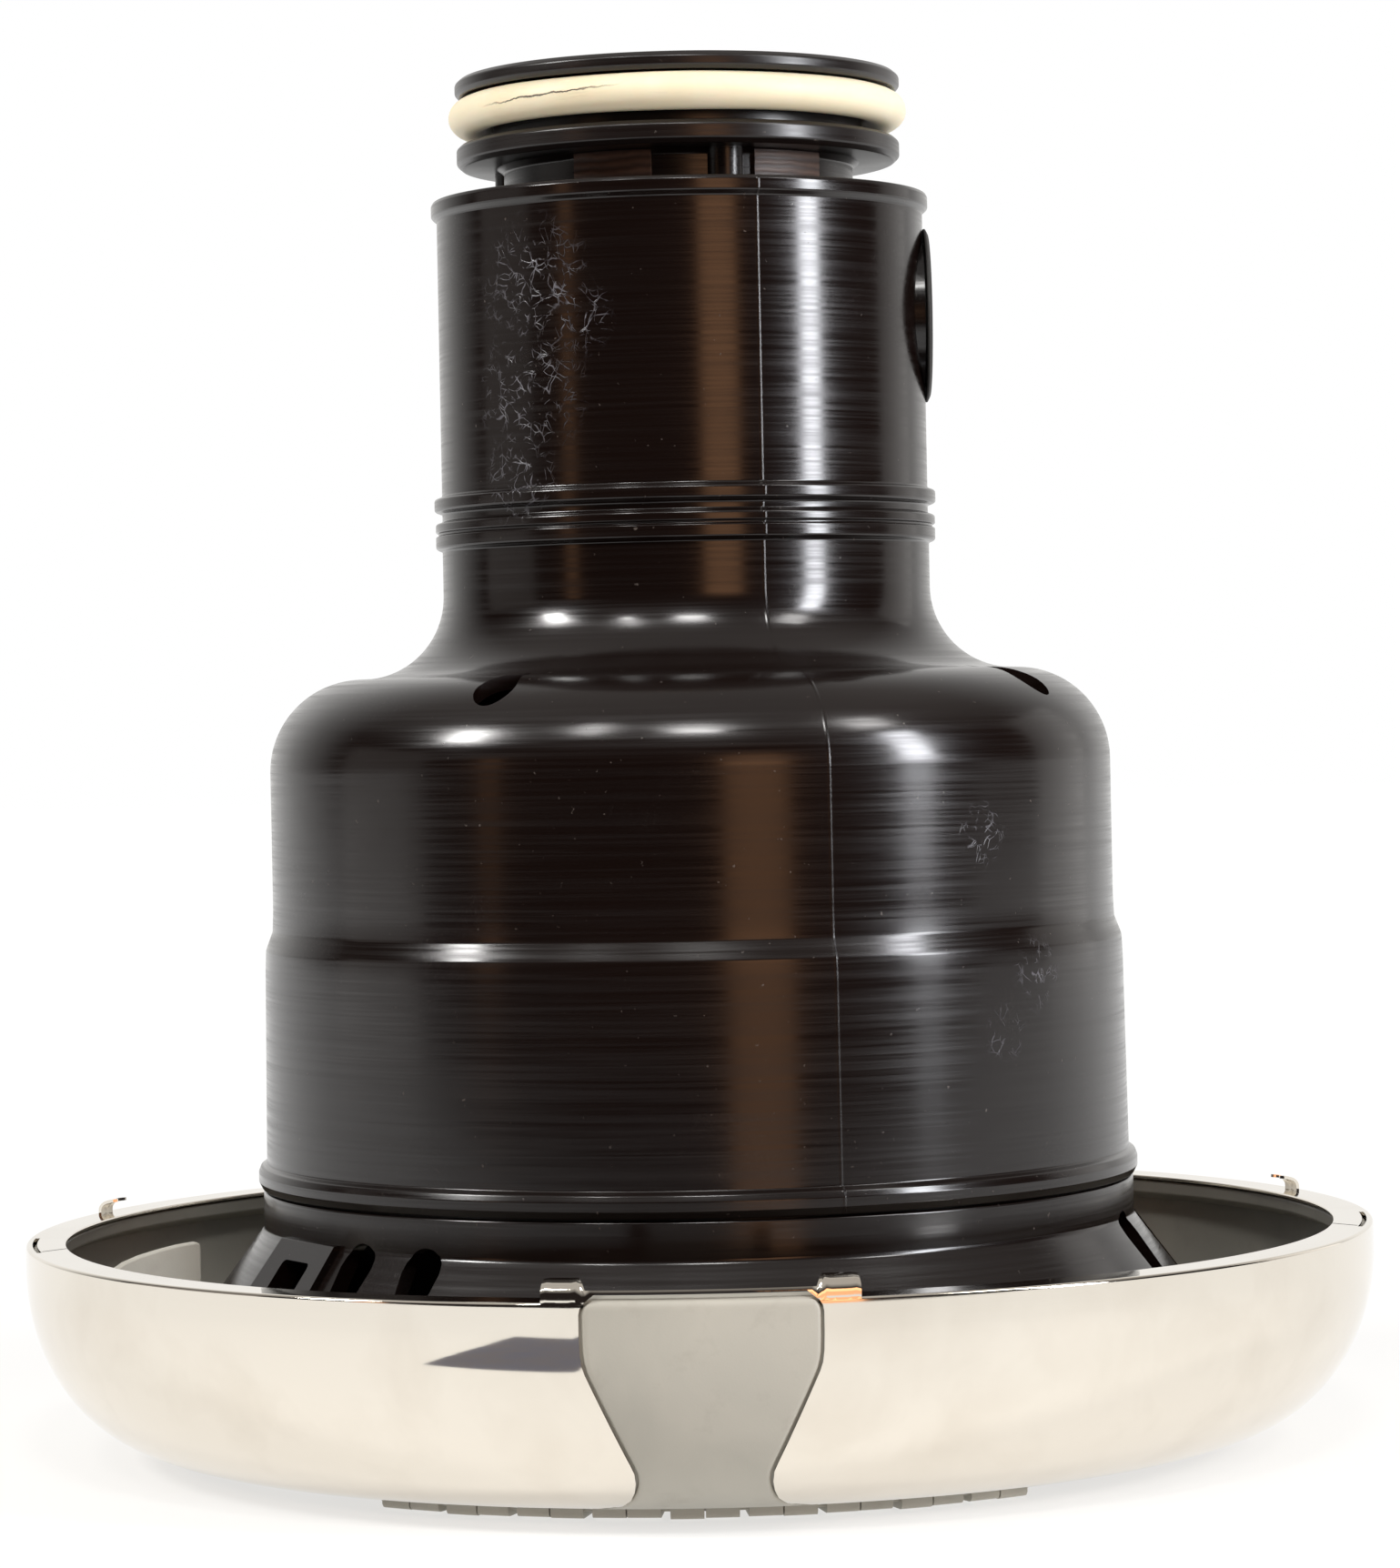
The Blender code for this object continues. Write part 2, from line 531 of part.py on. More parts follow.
def make_electrics(black, red, nylon, steel):
    """Overload protector with its reset button, start capacitor, terminal block and earth screw."""
    centre = (RESET_X, RESET_Y, 0)
    can = [(5.4, 19.2), (13.0, 19.2), (13.0, 38.0), (0, 38.0), (0, 31.0), (5.4, 31.0)]
    turned("overload_protector", can, black, SMALL_SIDES, centre=centre)
    button = [(0, 8.2), (4.0, 8.2), (4.6, 8.8), (4.6, 22.0), (2.2, 22.0), (2.2, 24.6), (0, 24.6)]
    turned("reset_button", button, red, PIN_SIDES, centre=centre)
    spring_points = []
    turns, steps, low, high = 4, 8, 22.7, 30.2
    for i in range(turns * steps + 1):
        angle = 2 * math.pi * i / steps
        z = low + (high - low) * i / (turns * steps)
        spring_points.append(Vector((3.6 * math.cos(angle), 3.6 * math.sin(angle), z)) * MM)
    curve = bpy.data.curves.new("reset_spring", "CURVE")
    curve.dimensions = "3D"
    curve.bevel_depth = 0.35 * MM
    curve.bevel_resolution = 1
    curve.use_fill_caps = True
    spline = curve.splines.new("POLY")
    spline.points.add(len(spring_points) - 1)
    for point, place in zip(spline.points, spring_points):
        point.co = (*place, 1.0)
    curve.materials.append(steel)
    spring = bpy.data.objects.new("reset_spring", curve)
    spring.location = Vector(centre) * MM
    bpy.context.scene.collection.objects.link(spring)

    place = Matrix.Translation((-42, 26, 36.6)) @ Matrix.Rotation(math.radians(90), 4, "Y")
    section = [(0, -30), (15.4, -30), (16.4, -29), (16.4, 27), (14.6, 29), (0, 29)]
    bm = turn_profile(bmesh.new(), section, INNER_SIDES)
    bmesh.ops.transform(bm, matrix=place, verts=bm.verts)
    add_object("start_capacitor", bm, black)

    block = add_prism(bmesh.new(), rectangle(-14, 14, -7, 7), 18.8, 29.0,
                      around(FRONT - 59) @ Matrix.Translation((64, 0, 0)) @ around(90))
    terminal_block = add_object("terminal_block", block, nylon)
    wells = bmesh.new()
    for i in range(3):
        add_prism(wells, circle(2.4, PIN_SIDES, (9.0 * (i - 1), 0)), 24, 40,
                  around(FRONT - 59) @ Matrix.Translation((64, 0, 0)) @ around(90))
    cut(terminal_block, wells)
    earth = [(0, 18.8), (3.6, 18.8), (3.6, 20.6), (2.6, 21.4), (0, 21.4)]
    turned("earth_screw", earth, steel, PIN_SIDES, centre=polar(80, FRONT - 75))


# ---------------------------------------------------------------- dish, steel shell and feet

def bowl_curve(inset, start, end, steps=CURVE_STEPS):
    """Points of the bowl's curve, inset from the steel's outer face; -90 is its foot, 0 its top."""
    turns = [math.radians(start + (end - start) * i / steps) for i in range(steps + 1)]
    wide, high = BOWL_WIDE - inset, BOWL_HIGH - inset
    return [(BOWL_R + wide * math.cos(t), BOWL_Z + high * math.sin(t)) for t in turns]


def window_outline(grow):
    """Front view of the window: wide at the top, tapering to a waist, open at the foot."""
    right = [(21.2, 1.8), (23.0, 0.0), (22.9, -11.2), (13.2, -32.7), (12.8, -36.2), (14.0, -40.2),
             (18.0, -42.2), (30.0, -45.2), (31.0, -60.0)]
    top = RIM_Z - 1.0
    points = [(x + grow, top + z + (grow if z > -1 else 0)) for x, z in right]
    return points + [(-x, z) for x, z in reversed(points)]


def upright(degrees):
    """Matrix that stands a prism up in the radial plane at that angle: X outwards, Y upwards."""
    return around(degrees) @ Matrix(((1, 0, 0, 0), (0, 0, -1, 0), (0, 1, 0, 0), (0, 0, 0, 1)))


def curled_tab(outer_r):
    """Section of a tab bent up out of the rim and curled inwards."""
    root, inner_r = RIM_Z - 2.0, outer_r - SHEET + 0.1
    return [(outer_r, root), (outer_r, RIM_Z + 2.0), (outer_r - 1.2, RIM_Z + 3.7),
            (outer_r - 4.6, RIM_Z + 4.3), (outer_r - 4.6, RIM_Z + 3.7),
            (inner_r - 0.9, RIM_Z + 3.1), (inner_r, RIM_Z + 1.7), (inner_r, root)]


def make_steel_shell(chrome):
    """Polished sheet round the dish, with an inturned rim, two windows and bent-up lips."""
    rim = [(RIM_R, RIM_Z), (RIM_INNER_R, RIM_Z), (RIM_INNER_R, RIM_Z - SHEET),
           (RIM_R - SHEET, RIM_Z - SHEET)]
    profile = bowl_curve(0.0, -90, 0) + rim + bowl_curve(SHEET, 0, -90)
    shell = turned("trim_shell", profile, chrome, DISH_SIDES)
    facet = 360 / DISH_SIDES
    for direction in (FRONT, FRONT + 180):
        lip = turn_profile(bmesh.new(), curled_tab(RIM_R - 0.05), 4, direction - 2 * facet, 4 * facet)
        join(shell, lip)
    flat_r = RIM_R * math.cos(math.radians(facet / 2)) - 0.05
    for direction in (21.0, 159.0):
        join(shell, add_prism(bmesh.new(), curled_tab(flat_r), -1.7, 1.7, upright(direction)))
    for direction in (FRONT, FRONT + 180):
        cut(shell, add_prism(bmesh.new(), window_outline(0.5), 90, 160, facing(direction)))
        notch = rectangle(-22.0, 22.0, RIM_Z + 2.5, RIM_Z + 10.0)
        cut(shell, add_prism(bmesh.new(), notch, 90, 160, facing(direction)))
    for direction, side in ((0.0, -1), (180.0, 1)):
        slit = [(144.7, RIM_Z - 2.0), (145.5, RIM_Z - 2.0), (145.5, RIM_Z + 2.0), (144.7, RIM_Z + 2.0)]
        cut(shell, turn_profile(bmesh.new(), slit, 4, direction + side * 8 - 6, 12))
        seam_place = around(direction + side * 12) @ Matrix.Translation((140.2, 0, 0)) @ around(side * 38)
        seam = rectangle(-5.0, 5.0, -0.35, 0.35)
        cut(shell, add_prism(bmesh.new(), seam, RIM_Z - 2.0, RIM_Z + 2.0, seam_place))
    return shell


def make_dish(grey):
    """Moulded bowl that the casing stands in. Its two pads fill the steel shell's windows."""
    skin = SHEET + GAP
    rim_top = RIM_Z - SHEET - GAP
    rim = [(RIM_R - skin, rim_top), (RIM_INNER_R + 0.6, rim_top), (RIM_INNER_R + 0.6, rim_top - 3.0)]
    floor_low, floor_high = BOWL_Z - BOWL_HIGH + skin, BOWL_Z - BOWL_HIGH + skin + DISH_WALL
    profile = ([(16.0, floor_low)] + bowl_curve(skin, -90, 0) + rim
               + bowl_curve(skin + DISH_WALL, 0, -90) + [(16.0, floor_high)])
    dish = turned("base_dish", profile, grey, DISH_SIDES)

    for name, direction in (("front", FRONT), ("rear", FRONT + 180)):
        pad_rim = [(RIM_R, RIM_Z + 0.2), (RIM_R - 0.8, RIM_Z + 0.6), (RIM_INNER_R + 1.0, RIM_Z + 0.6),
                   (RIM_INNER_R + 1.0, rim_top - 1.0), (RIM_R - skin - 1.0, rim_top - 1.0)]
        pad_section = bowl_curve(0.0, -90, 0) + pad_rim + bowl_curve(skin + 1.0, 0, -90)
        pad = turned(f"window_pad_{name}", pad_section, grey, 6, direction - 18, 36)
        combine(pad, add_prism(bmesh.new(), window_outline(0.0), 90, 160, facing(direction)), "INTERSECT")
        combine_object(dish, pad, "UNION")

    bosses, holes = bmesh.new(), bmesh.new()
    for i in range(4):
        place = around(45 + 90 * i) @ Matrix.Translation((DISH_SCREW_R, 0, 0))
        add_prism(bosses, circle(4.6), floor_low + 1.0, 12.2, place)
        add_prism(holes, circle(2.1, PIN_SIDES), -5, 20, place)
    join(dish, bosses)
    add_prism(holes, circle(8.0, centre=(RESET_X, RESET_Y)), -5, 12)
    cut(dish, holes)
    fin = bowl_curve(skin + 1.0, -72, -40, 3) + [(138.0, 44.0), (131.0, 47.0), (117.5, 50.8), (117.5, 26.0)]
    join(dish, add_prism(bmesh.new(), fin, -1.1, 1.1, upright(FRONT - 63)))


def make_dish_screws(steel):
    screw = [(0, 1.4), (2.6, 1.4), (3.6, 2.2), (3.6, 3.8), (1.6, 3.8), (1.6, 15.0), (0, 15.0)]
    for i in range(4):
        turned(f"dish_screw_{i + 1}", screw, steel, PIN_SIDES, centre=polar(DISH_SCREW_R, 45 + 90 * i))


def make_feet(grey):
    """Arc-shaped pads under the dish, each with a row of blunt lugs."""
    underside = BOWL_Z - BOWL_HIGH + SHEET
    strip = [(FOOT_R - 13, 1.6), (FOOT_R - 0.8, 1.6), (FOOT_R - 0.8, underside), (FOOT_R - 13, underside)]
    lug = [(FOOT_R - 11, 0.0), (FOOT_R - 1, 0.0), (FOOT_R, 0.9), (FOOT_R, 2.8),
           (FOOT_R - 12, 2.8), (FOOT_R - 12, 0.9)]
    pitch = 2 * FOOT_HALF_ANGLE / FOOT_LUGS
    for name, direction in (("front", FRONT), ("rear", FRONT + 180)):
        start = direction - FOOT_HALF_ANGLE
        foot = turned(f"foot_pad_{name}", strip, grey, FOOT_LUGS, start, 2 * FOOT_HALF_ANGLE)
        lugs = bmesh.new()
        for i in range(FOOT_LUGS):
            turn_profile(lugs, lug, 1, start + pitch * (i + 0.07), pitch * 0.86)
        join(foot, lugs)


def main():
    clear_scene()
    black = make_material("black_plastic", (0.012, 0.009, 0.008), 0.22)
    cream = make_material("cream_rubber", (0.80, 0.72, 0.55), 0.55)
    rubber = make_material("black_rubber", (0.015, 0.014, 0.013), 0.7)
    steel = make_material("stainless_steel", (0.55, 0.54, 0.52), 0.35, 1.0)
    chrome = make_material("polished_steel", (0.78, 0.74, 0.69), 0.08, 1.0)
    grey = make_material("grey_plastic", (0.45, 0.43, 0.38), 0.45)
    iron = make_material("lamination_steel", (0.20, 0.20, 0.21), 0.5, 1.0)
    copper = make_material("copper_winding", (0.60, 0.26, 0.12), 0.4, 1.0)
    aluminium = make_material("cast_aluminium", (0.55, 0.55, 0.56), 0.5, 1.0)
    bronze = make_material("bronze_bush", (0.55, 0.38, 0.18), 0.4, 1.0)
    nylon = make_material("natural_nylon", (0.70, 0.68, 0.60), 0.5)
    red = make_material("red_plastic", (0.55, 0.03, 0.02), 0.3)

    make_casing(black)
    make_neck(black)
    make_seal_ring(cream)
    make_splash_guard(rubber)
    make_outlet_gasket(rubber)
    make_chamber(steel, rubber)
    make_turntable(steel)
    make_lugs(steel)
    make_upper_frame(aluminium, rubber, bronze)
    make_shaft(steel)
    make_rotor(iron, nylon)
    make_stator(iron, copper)
    make_lower_frame(aluminium, bronze, steel)
    make_skirt(black)
    make_bottom_cover(black)
    make_electrics(black, red, nylon, steel)
    make_steel_shell(chrome)
    make_dish(grey)
    make_dish_screws(steel)
    make_feet(grey)


main()
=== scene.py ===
"""Food waste disposer standing in its base dish, finished piece by piece.

The sections follow the order of assembly, from the steel shell up to the neck. Every length is
in millimetres until a helper turns it into metres. The front window faces -Y, and the waste
outlet faces +X.
"""

import math

import bmesh
import bpy
from mathutils import Matrix, Vector


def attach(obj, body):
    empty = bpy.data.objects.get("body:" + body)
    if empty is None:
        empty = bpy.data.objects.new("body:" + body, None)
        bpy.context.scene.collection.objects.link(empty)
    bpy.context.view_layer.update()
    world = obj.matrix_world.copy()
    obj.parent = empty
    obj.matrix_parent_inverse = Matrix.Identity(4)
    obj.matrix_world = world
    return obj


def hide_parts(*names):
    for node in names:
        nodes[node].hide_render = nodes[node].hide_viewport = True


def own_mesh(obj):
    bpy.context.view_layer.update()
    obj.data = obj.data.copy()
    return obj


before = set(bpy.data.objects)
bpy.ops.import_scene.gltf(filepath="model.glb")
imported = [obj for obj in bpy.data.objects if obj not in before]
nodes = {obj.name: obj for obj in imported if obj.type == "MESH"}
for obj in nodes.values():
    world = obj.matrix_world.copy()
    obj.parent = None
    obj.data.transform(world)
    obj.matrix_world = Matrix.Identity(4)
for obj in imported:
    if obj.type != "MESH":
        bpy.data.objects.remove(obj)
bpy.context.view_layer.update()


# ------------------------------------------------------------------ polished steel shell
# A bowl of stainless sheet, spun and mirror polished, wrapped round the dish. Its rim turns in
# over the dish, and at each window a lip of the sheet is bent up, with a curled ear at each end.

MM = 0.001
FRONT = -90.0
REAR = 90.0
RIM_Z = 47.2
RIM_R = 146.8
RIM_INNER_R = 138.2
SHEET = 0.8
BOWL_Z = 41.4
BOWL_WIDE = 31.8
BOWL_HIGH = 38.4
BOWL_R = RIM_R - BOWL_WIDE
FINE_SIDES = 240
WAVE_PERIOD = 0.314     # spacing of a wave texture's bands, in metres, at a scale of 1


def polar(radius, degrees, z=0.0):
    turn = math.radians(degrees)
    return Vector((radius * math.cos(turn), radius * math.sin(turn), z))


def arc(centre_r, centre_z, wide, high, start, end, steps):
    """Points of an elliptical arc in the (radius, height) plane, each with no fillet."""
    turns = [math.radians(start + (end - start) * i / steps) for i in range(steps + 1)]
    return [(centre_r + wide * math.cos(t), centre_z + high * math.sin(t), 0) for t in turns]


def rounded(corners, steps=5):
    """Closed outline through (r, z, fillet) corners, each turned on an arc of its fillet."""
    outline = []
    for i, (r, z, fillet) in enumerate(corners):
        here = Vector((r, z))
        back = Vector(corners[i - 1][:2]) - here
        ahead = Vector(corners[(i + 1) % len(corners)][:2]) - here
        half = back.angle(ahead) / 2
        if fillet == 0 or half > math.radians(87):
            outline.append((r, z))
            continue
        reach = min(fillet / math.tan(half), 0.49 * back.length, 0.49 * ahead.length)
        back.normalize()
        ahead.normalize()
        radius = reach * math.tan(half)
        centre = here + (back + ahead).normalized() * radius / math.sin(half)
        first = here + back * reach - centre
        last = here + ahead * reach - centre
        sweep = first.angle_signed(last)
        for k in range(steps + 1):
            point = first.copy()
            point.rotate(Matrix.Rotation(-sweep * k / steps, 2))
            outline.append(tuple(centre + point))
    return outline


def turn(bm, outline, sides=FINE_SIDES, start=0.0, sweep=360.0):
    """Turns a closed outline of (radius, height) about the upright axis."""
    whole = sweep >= 360
    rings = [[bm.verts.new(polar(r, start + sweep * i / sides, z)) for r, z in outline]
             for i in range(sides if whole else sides + 1)]
    for i in range(sides):
        here, beyond = rings[i], rings[(i + 1) % len(rings)]
        for j in range(len(outline)):
            k = (j + 1) % len(outline)
            if outline[j][0] > 0 or outline[k][0] > 0:
                bm.faces.new((here[j], here[k], beyond[k], beyond[j]))
    if not whole:
        bm.faces.new(rings[0])
        bm.faces.new(reversed(rings[-1]))
    return bm


def prism(bm, outline, low, high, place=None):
    """A flat outline drawn up from low to high, then put in place."""
    foot = [bm.verts.new((x, y, low)) for x, y in outline]
    head = [bm.verts.new((x, y, high)) for x, y in outline]
    bm.faces.new(list(reversed(foot)))
    bm.faces.new(head)
    for i in range(len(outline)):
        j = (i + 1) % len(outline)
        bm.faces.new((foot[i], foot[j], head[j], head[i]))
    if place is not None:
        bmesh.ops.transform(bm, matrix=place, verts=foot + head)
    return bm


def around(degrees):
    return Matrix.Rotation(math.radians(degrees), 4, "Z")


def facing(degrees):
    """Lays a prism along the outward direction at that angle, its Y upwards."""
    return around(degrees) @ Matrix(((0, 0, 1, 0), (1, 0, 0, 0), (0, 1, 0, 0), (0, 0, 0, 1)))


def smooth(mesh, sharp=32):
    mesh.shade_smooth()
    mesh.set_sharp_from_angle(angle=math.radians(sharp))


def make(name, bm, material=None):
    """A new piece from a mesh drawn in millimetres."""
    bmesh.ops.remove_doubles(bm, verts=bm.verts, dist=1e-4)
    bmesh.ops.recalc_face_normals(bm, faces=bm.faces)
    bmesh.ops.transform(bm, matrix=Matrix.Scale(MM, 4), verts=bm.verts)
    mesh = bpy.data.meshes.new(name)
    bm.to_mesh(mesh)
    bm.free()
    smooth(mesh)
    if material:
        mesh.materials.append(material)
    piece = bpy.data.objects.new(name, mesh)
    bpy.context.scene.collection.objects.link(piece)
    return piece


def combine(piece, bm, operation="DIFFERENCE"):
    """Cuts a tool from the piece, or joins it on, and takes the tool away again."""
    tool = make(piece.name + "_tool", bm, piece.data.materials[0])
    modifier = piece.modifiers.new("shape", "BOOLEAN")
    modifier.operation = operation
    modifier.solver = "EXACT"
    modifier.object = tool
    ready = piece.evaluated_get(bpy.context.evaluated_depsgraph_get())
    mesh = bpy.data.meshes.new_from_object(ready)
    piece.modifiers.clear()
    piece.data = mesh
    smooth(mesh)
    bpy.data.objects.remove(tool)
    return piece


def fit(piece, slot, *stands_for, body="housing"):
    """Gives a finished piece its shading and its body, and hides the nodes that it stands for. The slot
    argument is not used.
    """
    shading = piece.modifiers.new("shading", "WEIGHTED_NORMAL")
    shading.keep_sharp = True
    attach(piece, body)
    if stands_for:
        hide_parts(*stands_for)


def linear(colour):
    """An sRGB hex colour as the linear one that a shader takes."""
    parts = [int(colour[i:i + 2], 16) / 255 for i in (0, 2, 4)]
    return (*[c / 12.92 if c <= 0.04045 else ((c + 0.055) / 1.055) ** 2.4 for c in parts], 1.0)


def add(tree, kind, inputs=None, **settings):
    """One node, with its settings, and its inputs as values, nodes or sockets."""
    node = tree.nodes.new("ShaderNode" + kind)
    for name, value in settings.items():
        setattr(node, name, value)
    for key, value in (inputs or {}).items():
        if isinstance(key, int):
            socket = node.inputs[key]
        else:
            socket = next(s for s in node.inputs if s.enabled and s.name == key)
        if isinstance(value, bpy.types.Node):
            value = next(s for s in value.outputs if s.enabled)
        if isinstance(value, bpy.types.NodeSocket):
            tree.links.new(value, socket)
        elif isinstance(value, str):
            socket.default_value = linear(value)
        else:
            socket.default_value = value
    return node


def start_material(name, constants):
    """A material with its shader's constant values set, its tree, shader and coordinates."""
    material = bpy.data.materials.new(name)
    material.use_nodes = True
    tree = material.node_tree
    shader = tree.nodes["Principled BSDF"]
    for socket, value in constants.items():
        shader.inputs[socket].default_value = value
    place = add(tree, "TexCoord").outputs["Object"]
    return material, tree, shader, place


def wire(tree, shader, **sockets):
    for name, value in sockets.items():
        output = next(s for s in value.outputs if s.enabled)
        tree.links.new(output, shader.inputs[name.replace("_", " ")])


def polished_stainless():
    """Mirror-polished stainless: a warm white reflection, a faint waviness and finger smears."""
    material, tree, shader, place = start_material("polished_stainless", {"Metallic": 1.0})
    smear_size, wave_size, line_height = 26 * MM, 60 * MM, 1.1 * MM
    smears = add(tree, "TexNoise",
                 {"Vector": place, "Scale": 1 / smear_size, "Detail": 5.0, "Distortion": 0.3})
    smeared = add(tree, "MapRange", {"Value": smears, "From Min": 0.45, "From Max": 0.75})
    long_way = add(tree, "Mapping", {"Vector": place, "Scale": (14, 14, 1 / line_height)})
    lines = add(tree, "TexNoise", {"Vector": long_way, "Scale": 1.0, "Detail": 3.0})
    tint = add(tree, "Mix", {"Factor": smeared, "A": "e9e2d6", "B": "e1d9cc"}, data_type="RGBA")
    gloss = add(tree, "MapRange", {"Value": smeared, "To Min": 0.05, "To Max": 0.10})
    wave = add(tree, "TexNoise",
               {"Vector": place, "Scale": 1 / wave_size, "Detail": 1.0, "Distortion": 0.2})
    swell = add(tree, "Bump", {"Height": wave, "Strength": 0.16, "Distance": 1.2 * MM})
    polish = add(tree, "Bump",
                 {"Height": lines, "Strength": 0.10, "Distance": 0.02 * MM, "Normal": swell})
    wire(tree, shader, Base_Color=tint, Roughness=gloss, Normal=polish)
    return material


def bowl_curve(inset, start, end, steps=22):
    """The bowl's section, inset from the steel's outer face: -90 is its foot and 0 its top."""
    return arc(BOWL_R, BOWL_Z, BOWL_WIDE - inset, BOWL_HIGH - inset, start, end, steps)


WINDOW_HALF_WIDTHS = [(3.0, 31.0), (3.35, 24.0), (3.9, 18.6), (4.8, 15.6), (6.4, 13.9), (8.4, 13.1),
                      (10.6, 12.8), (12.8, 13.0), (14.6, 13.7), (33.2, 22.0), (35.0, 22.6),
                      (37.4, 22.9), (41.0, 23.0), (44.8, 23.0), (46.0, 22.75), (47.0, 22.1),
                      (47.8, 21.0)]


def window_half_width(z):
    """Half of the window's width at a height, between the widths above and below it."""
    pairs = zip(WINDOW_HALF_WIDTHS, WINDOW_HALF_WIDTHS[1:])
    for (low, wide_low), (high, wide_high) in pairs:
        if z <= high:
            part = max(0.0, (z - low) / (high - low))
            return wide_low + (wide_high - wide_low) * part
    return WINDOW_HALF_WIDTHS[-1][1]


def window_tool(grow):
    """The window's outline, seen from the front, as a prism through the wall."""
    right = [(wide + grow, z) for z, wide in WINDOW_HALF_WIDTHS]
    right = [(34.0, -6.0), (34.0, 2.6)] + right
    right.append((right[-1][0] - 1.2, RIM_Z + 1.2 + grow))
    return right + [(-x, z) for x, z in reversed(right)]


def lip(bm, direction, half_angle, strip_half_angle, tall=1.0):
    """A bent-up lip: a low strip in the middle, and a curled ear towards each end."""
    outer_r, root, thick = RIM_R - 0.06, RIM_Z - 2.2, SHEET - 0.14
    rise = [(0.0, 0.0), (0.0, 2.0), (0.0, 3.6), (-0.15, 4.3), (-0.55, 5.0), (-1.2, 5.6),
            (-2.0, 6.0), (-3.2, 6.35), (-4.6, 6.5)]
    rise = [(r, z * tall) for r, z in rise]
    lengths = [0.0]
    for (r0, z0), (r1, z1) in zip(rise, rise[1:]):
        lengths.append(lengths[-1] + math.hypot(r1 - r0, z1 - z0))

    def along(s):
        for i in range(1, len(rise)):
            if s <= lengths[i] or i == len(rise) - 1:
                part = (s - lengths[i - 1]) / (lengths[i] - lengths[i - 1])
                (r0, z0), (r1, z1) = rise[i - 1], rise[i]
                step = Vector((r1 - r0, z1 - z0)).normalized()
                return Vector((r0 + (r1 - r0) * part, z0 + (z1 - z0) * part)), step
        return None

    ear, strip, corner = lengths[-1], 4.55, 0.9
    columns, rows, grid = 64 if strip_half_angle else 10, 12, []
    for i in range(columns + 1):
        angle = -half_angle + 2 * half_angle * i / columns
        part = min(1.0, max(0.0, (abs(angle) - strip_half_angle) / 0.75))
        length = strip + (ear - strip) * part * part * (3 - 2 * part)
        edge = (half_angle - abs(angle)) * math.radians(RIM_R)
        if edge < corner:
            length -= corner - math.sqrt(corner ** 2 - (corner - edge) ** 2)
        outside, inside = [], []
        for j in range(rows + 1):
            point, step = along(length * j / rows)
            inner = point + Vector((-step.y, step.x)) * thick
            outside.append(bm.verts.new(polar(outer_r + point.x, direction + angle, root + point.y)))
            inside.append(bm.verts.new(polar(outer_r + inner.x, direction + angle, root + inner.y)))
        grid.append(outside + inside[::-1])
    for here, beyond in zip(grid, grid[1:]):
        for j in range(len(here)):
            k = (j + 1) % len(here)
            bm.faces.new((here[j], here[k], beyond[k], beyond[j]))
    for end in (grid[0], grid[-1][::-1]):
        for j in range(rows):
            bm.faces.new((end[j], end[j + 1], end[-2 - j], end[-1 - j]))
    return bm


steel = polished_stainless()
rim = [(RIM_R, RIM_Z - 1.3, 0), (RIM_R, RIM_Z, 1.0), (RIM_INNER_R, RIM_Z, 0.3),
       (RIM_INNER_R, RIM_Z - SHEET, 0.3),
       (RIM_R - SHEET, RIM_Z - SHEET, 0.4)]
shell_outline = rounded(bowl_curve(0, -90, 0) + rim + bowl_curve(SHEET, 0, -90))
shell = make("steel_shell", turn(bmesh.new(), shell_outline, 288), steel)
for direction in (FRONT, REAR):
    combine(shell, lip(bmesh.new(), direction, 12.1, 8.7), "UNION")
for direction in (21.0, 159.0):
    combine(shell, lip(bmesh.new(), direction, 1.1, 0.0, 0.82), "UNION")
for direction in (FRONT, REAR):
    combine(shell, prism(bmesh.new(), window_tool(0.5), 90, 160, facing(direction)))
for direction, side in ((0.0, -1), (180.0, 1)):
    slit = [(144.4, RIM_Z - 2), (145.4, RIM_Z - 2), (145.4, RIM_Z + 2), (144.4, RIM_Z + 2)]
    combine(shell, turn(bmesh.new(), slit, 24, direction + side * 8 - 6, 12))
    seam_place = around(direction + side * 12) @ Matrix.Translation((140.2, 0, 0)) @ around(side * 38)
    seam = [(-5, -0.35), (5, -0.35), (5, 0.35), (-5, 0.35)]
    combine(shell, prism(bmesh.new(), seam, RIM_Z - 2, RIM_Z + 2, seam_place))
fit(shell, "polished_steel", "trim_shell")


# ------------------------------------------------------------------ dish
# One injection moulding in grey polypropylene, with a fine spark-eroded texture. The casing
# stands in it on four screwed bosses, and two smooth pads show through the steel's windows.

DISH_WALL = 2.7
SKIN = SHEET + 0.4
RESET_X, RESET_Y = 38.0, -30.0
SCREW_R = 100.0


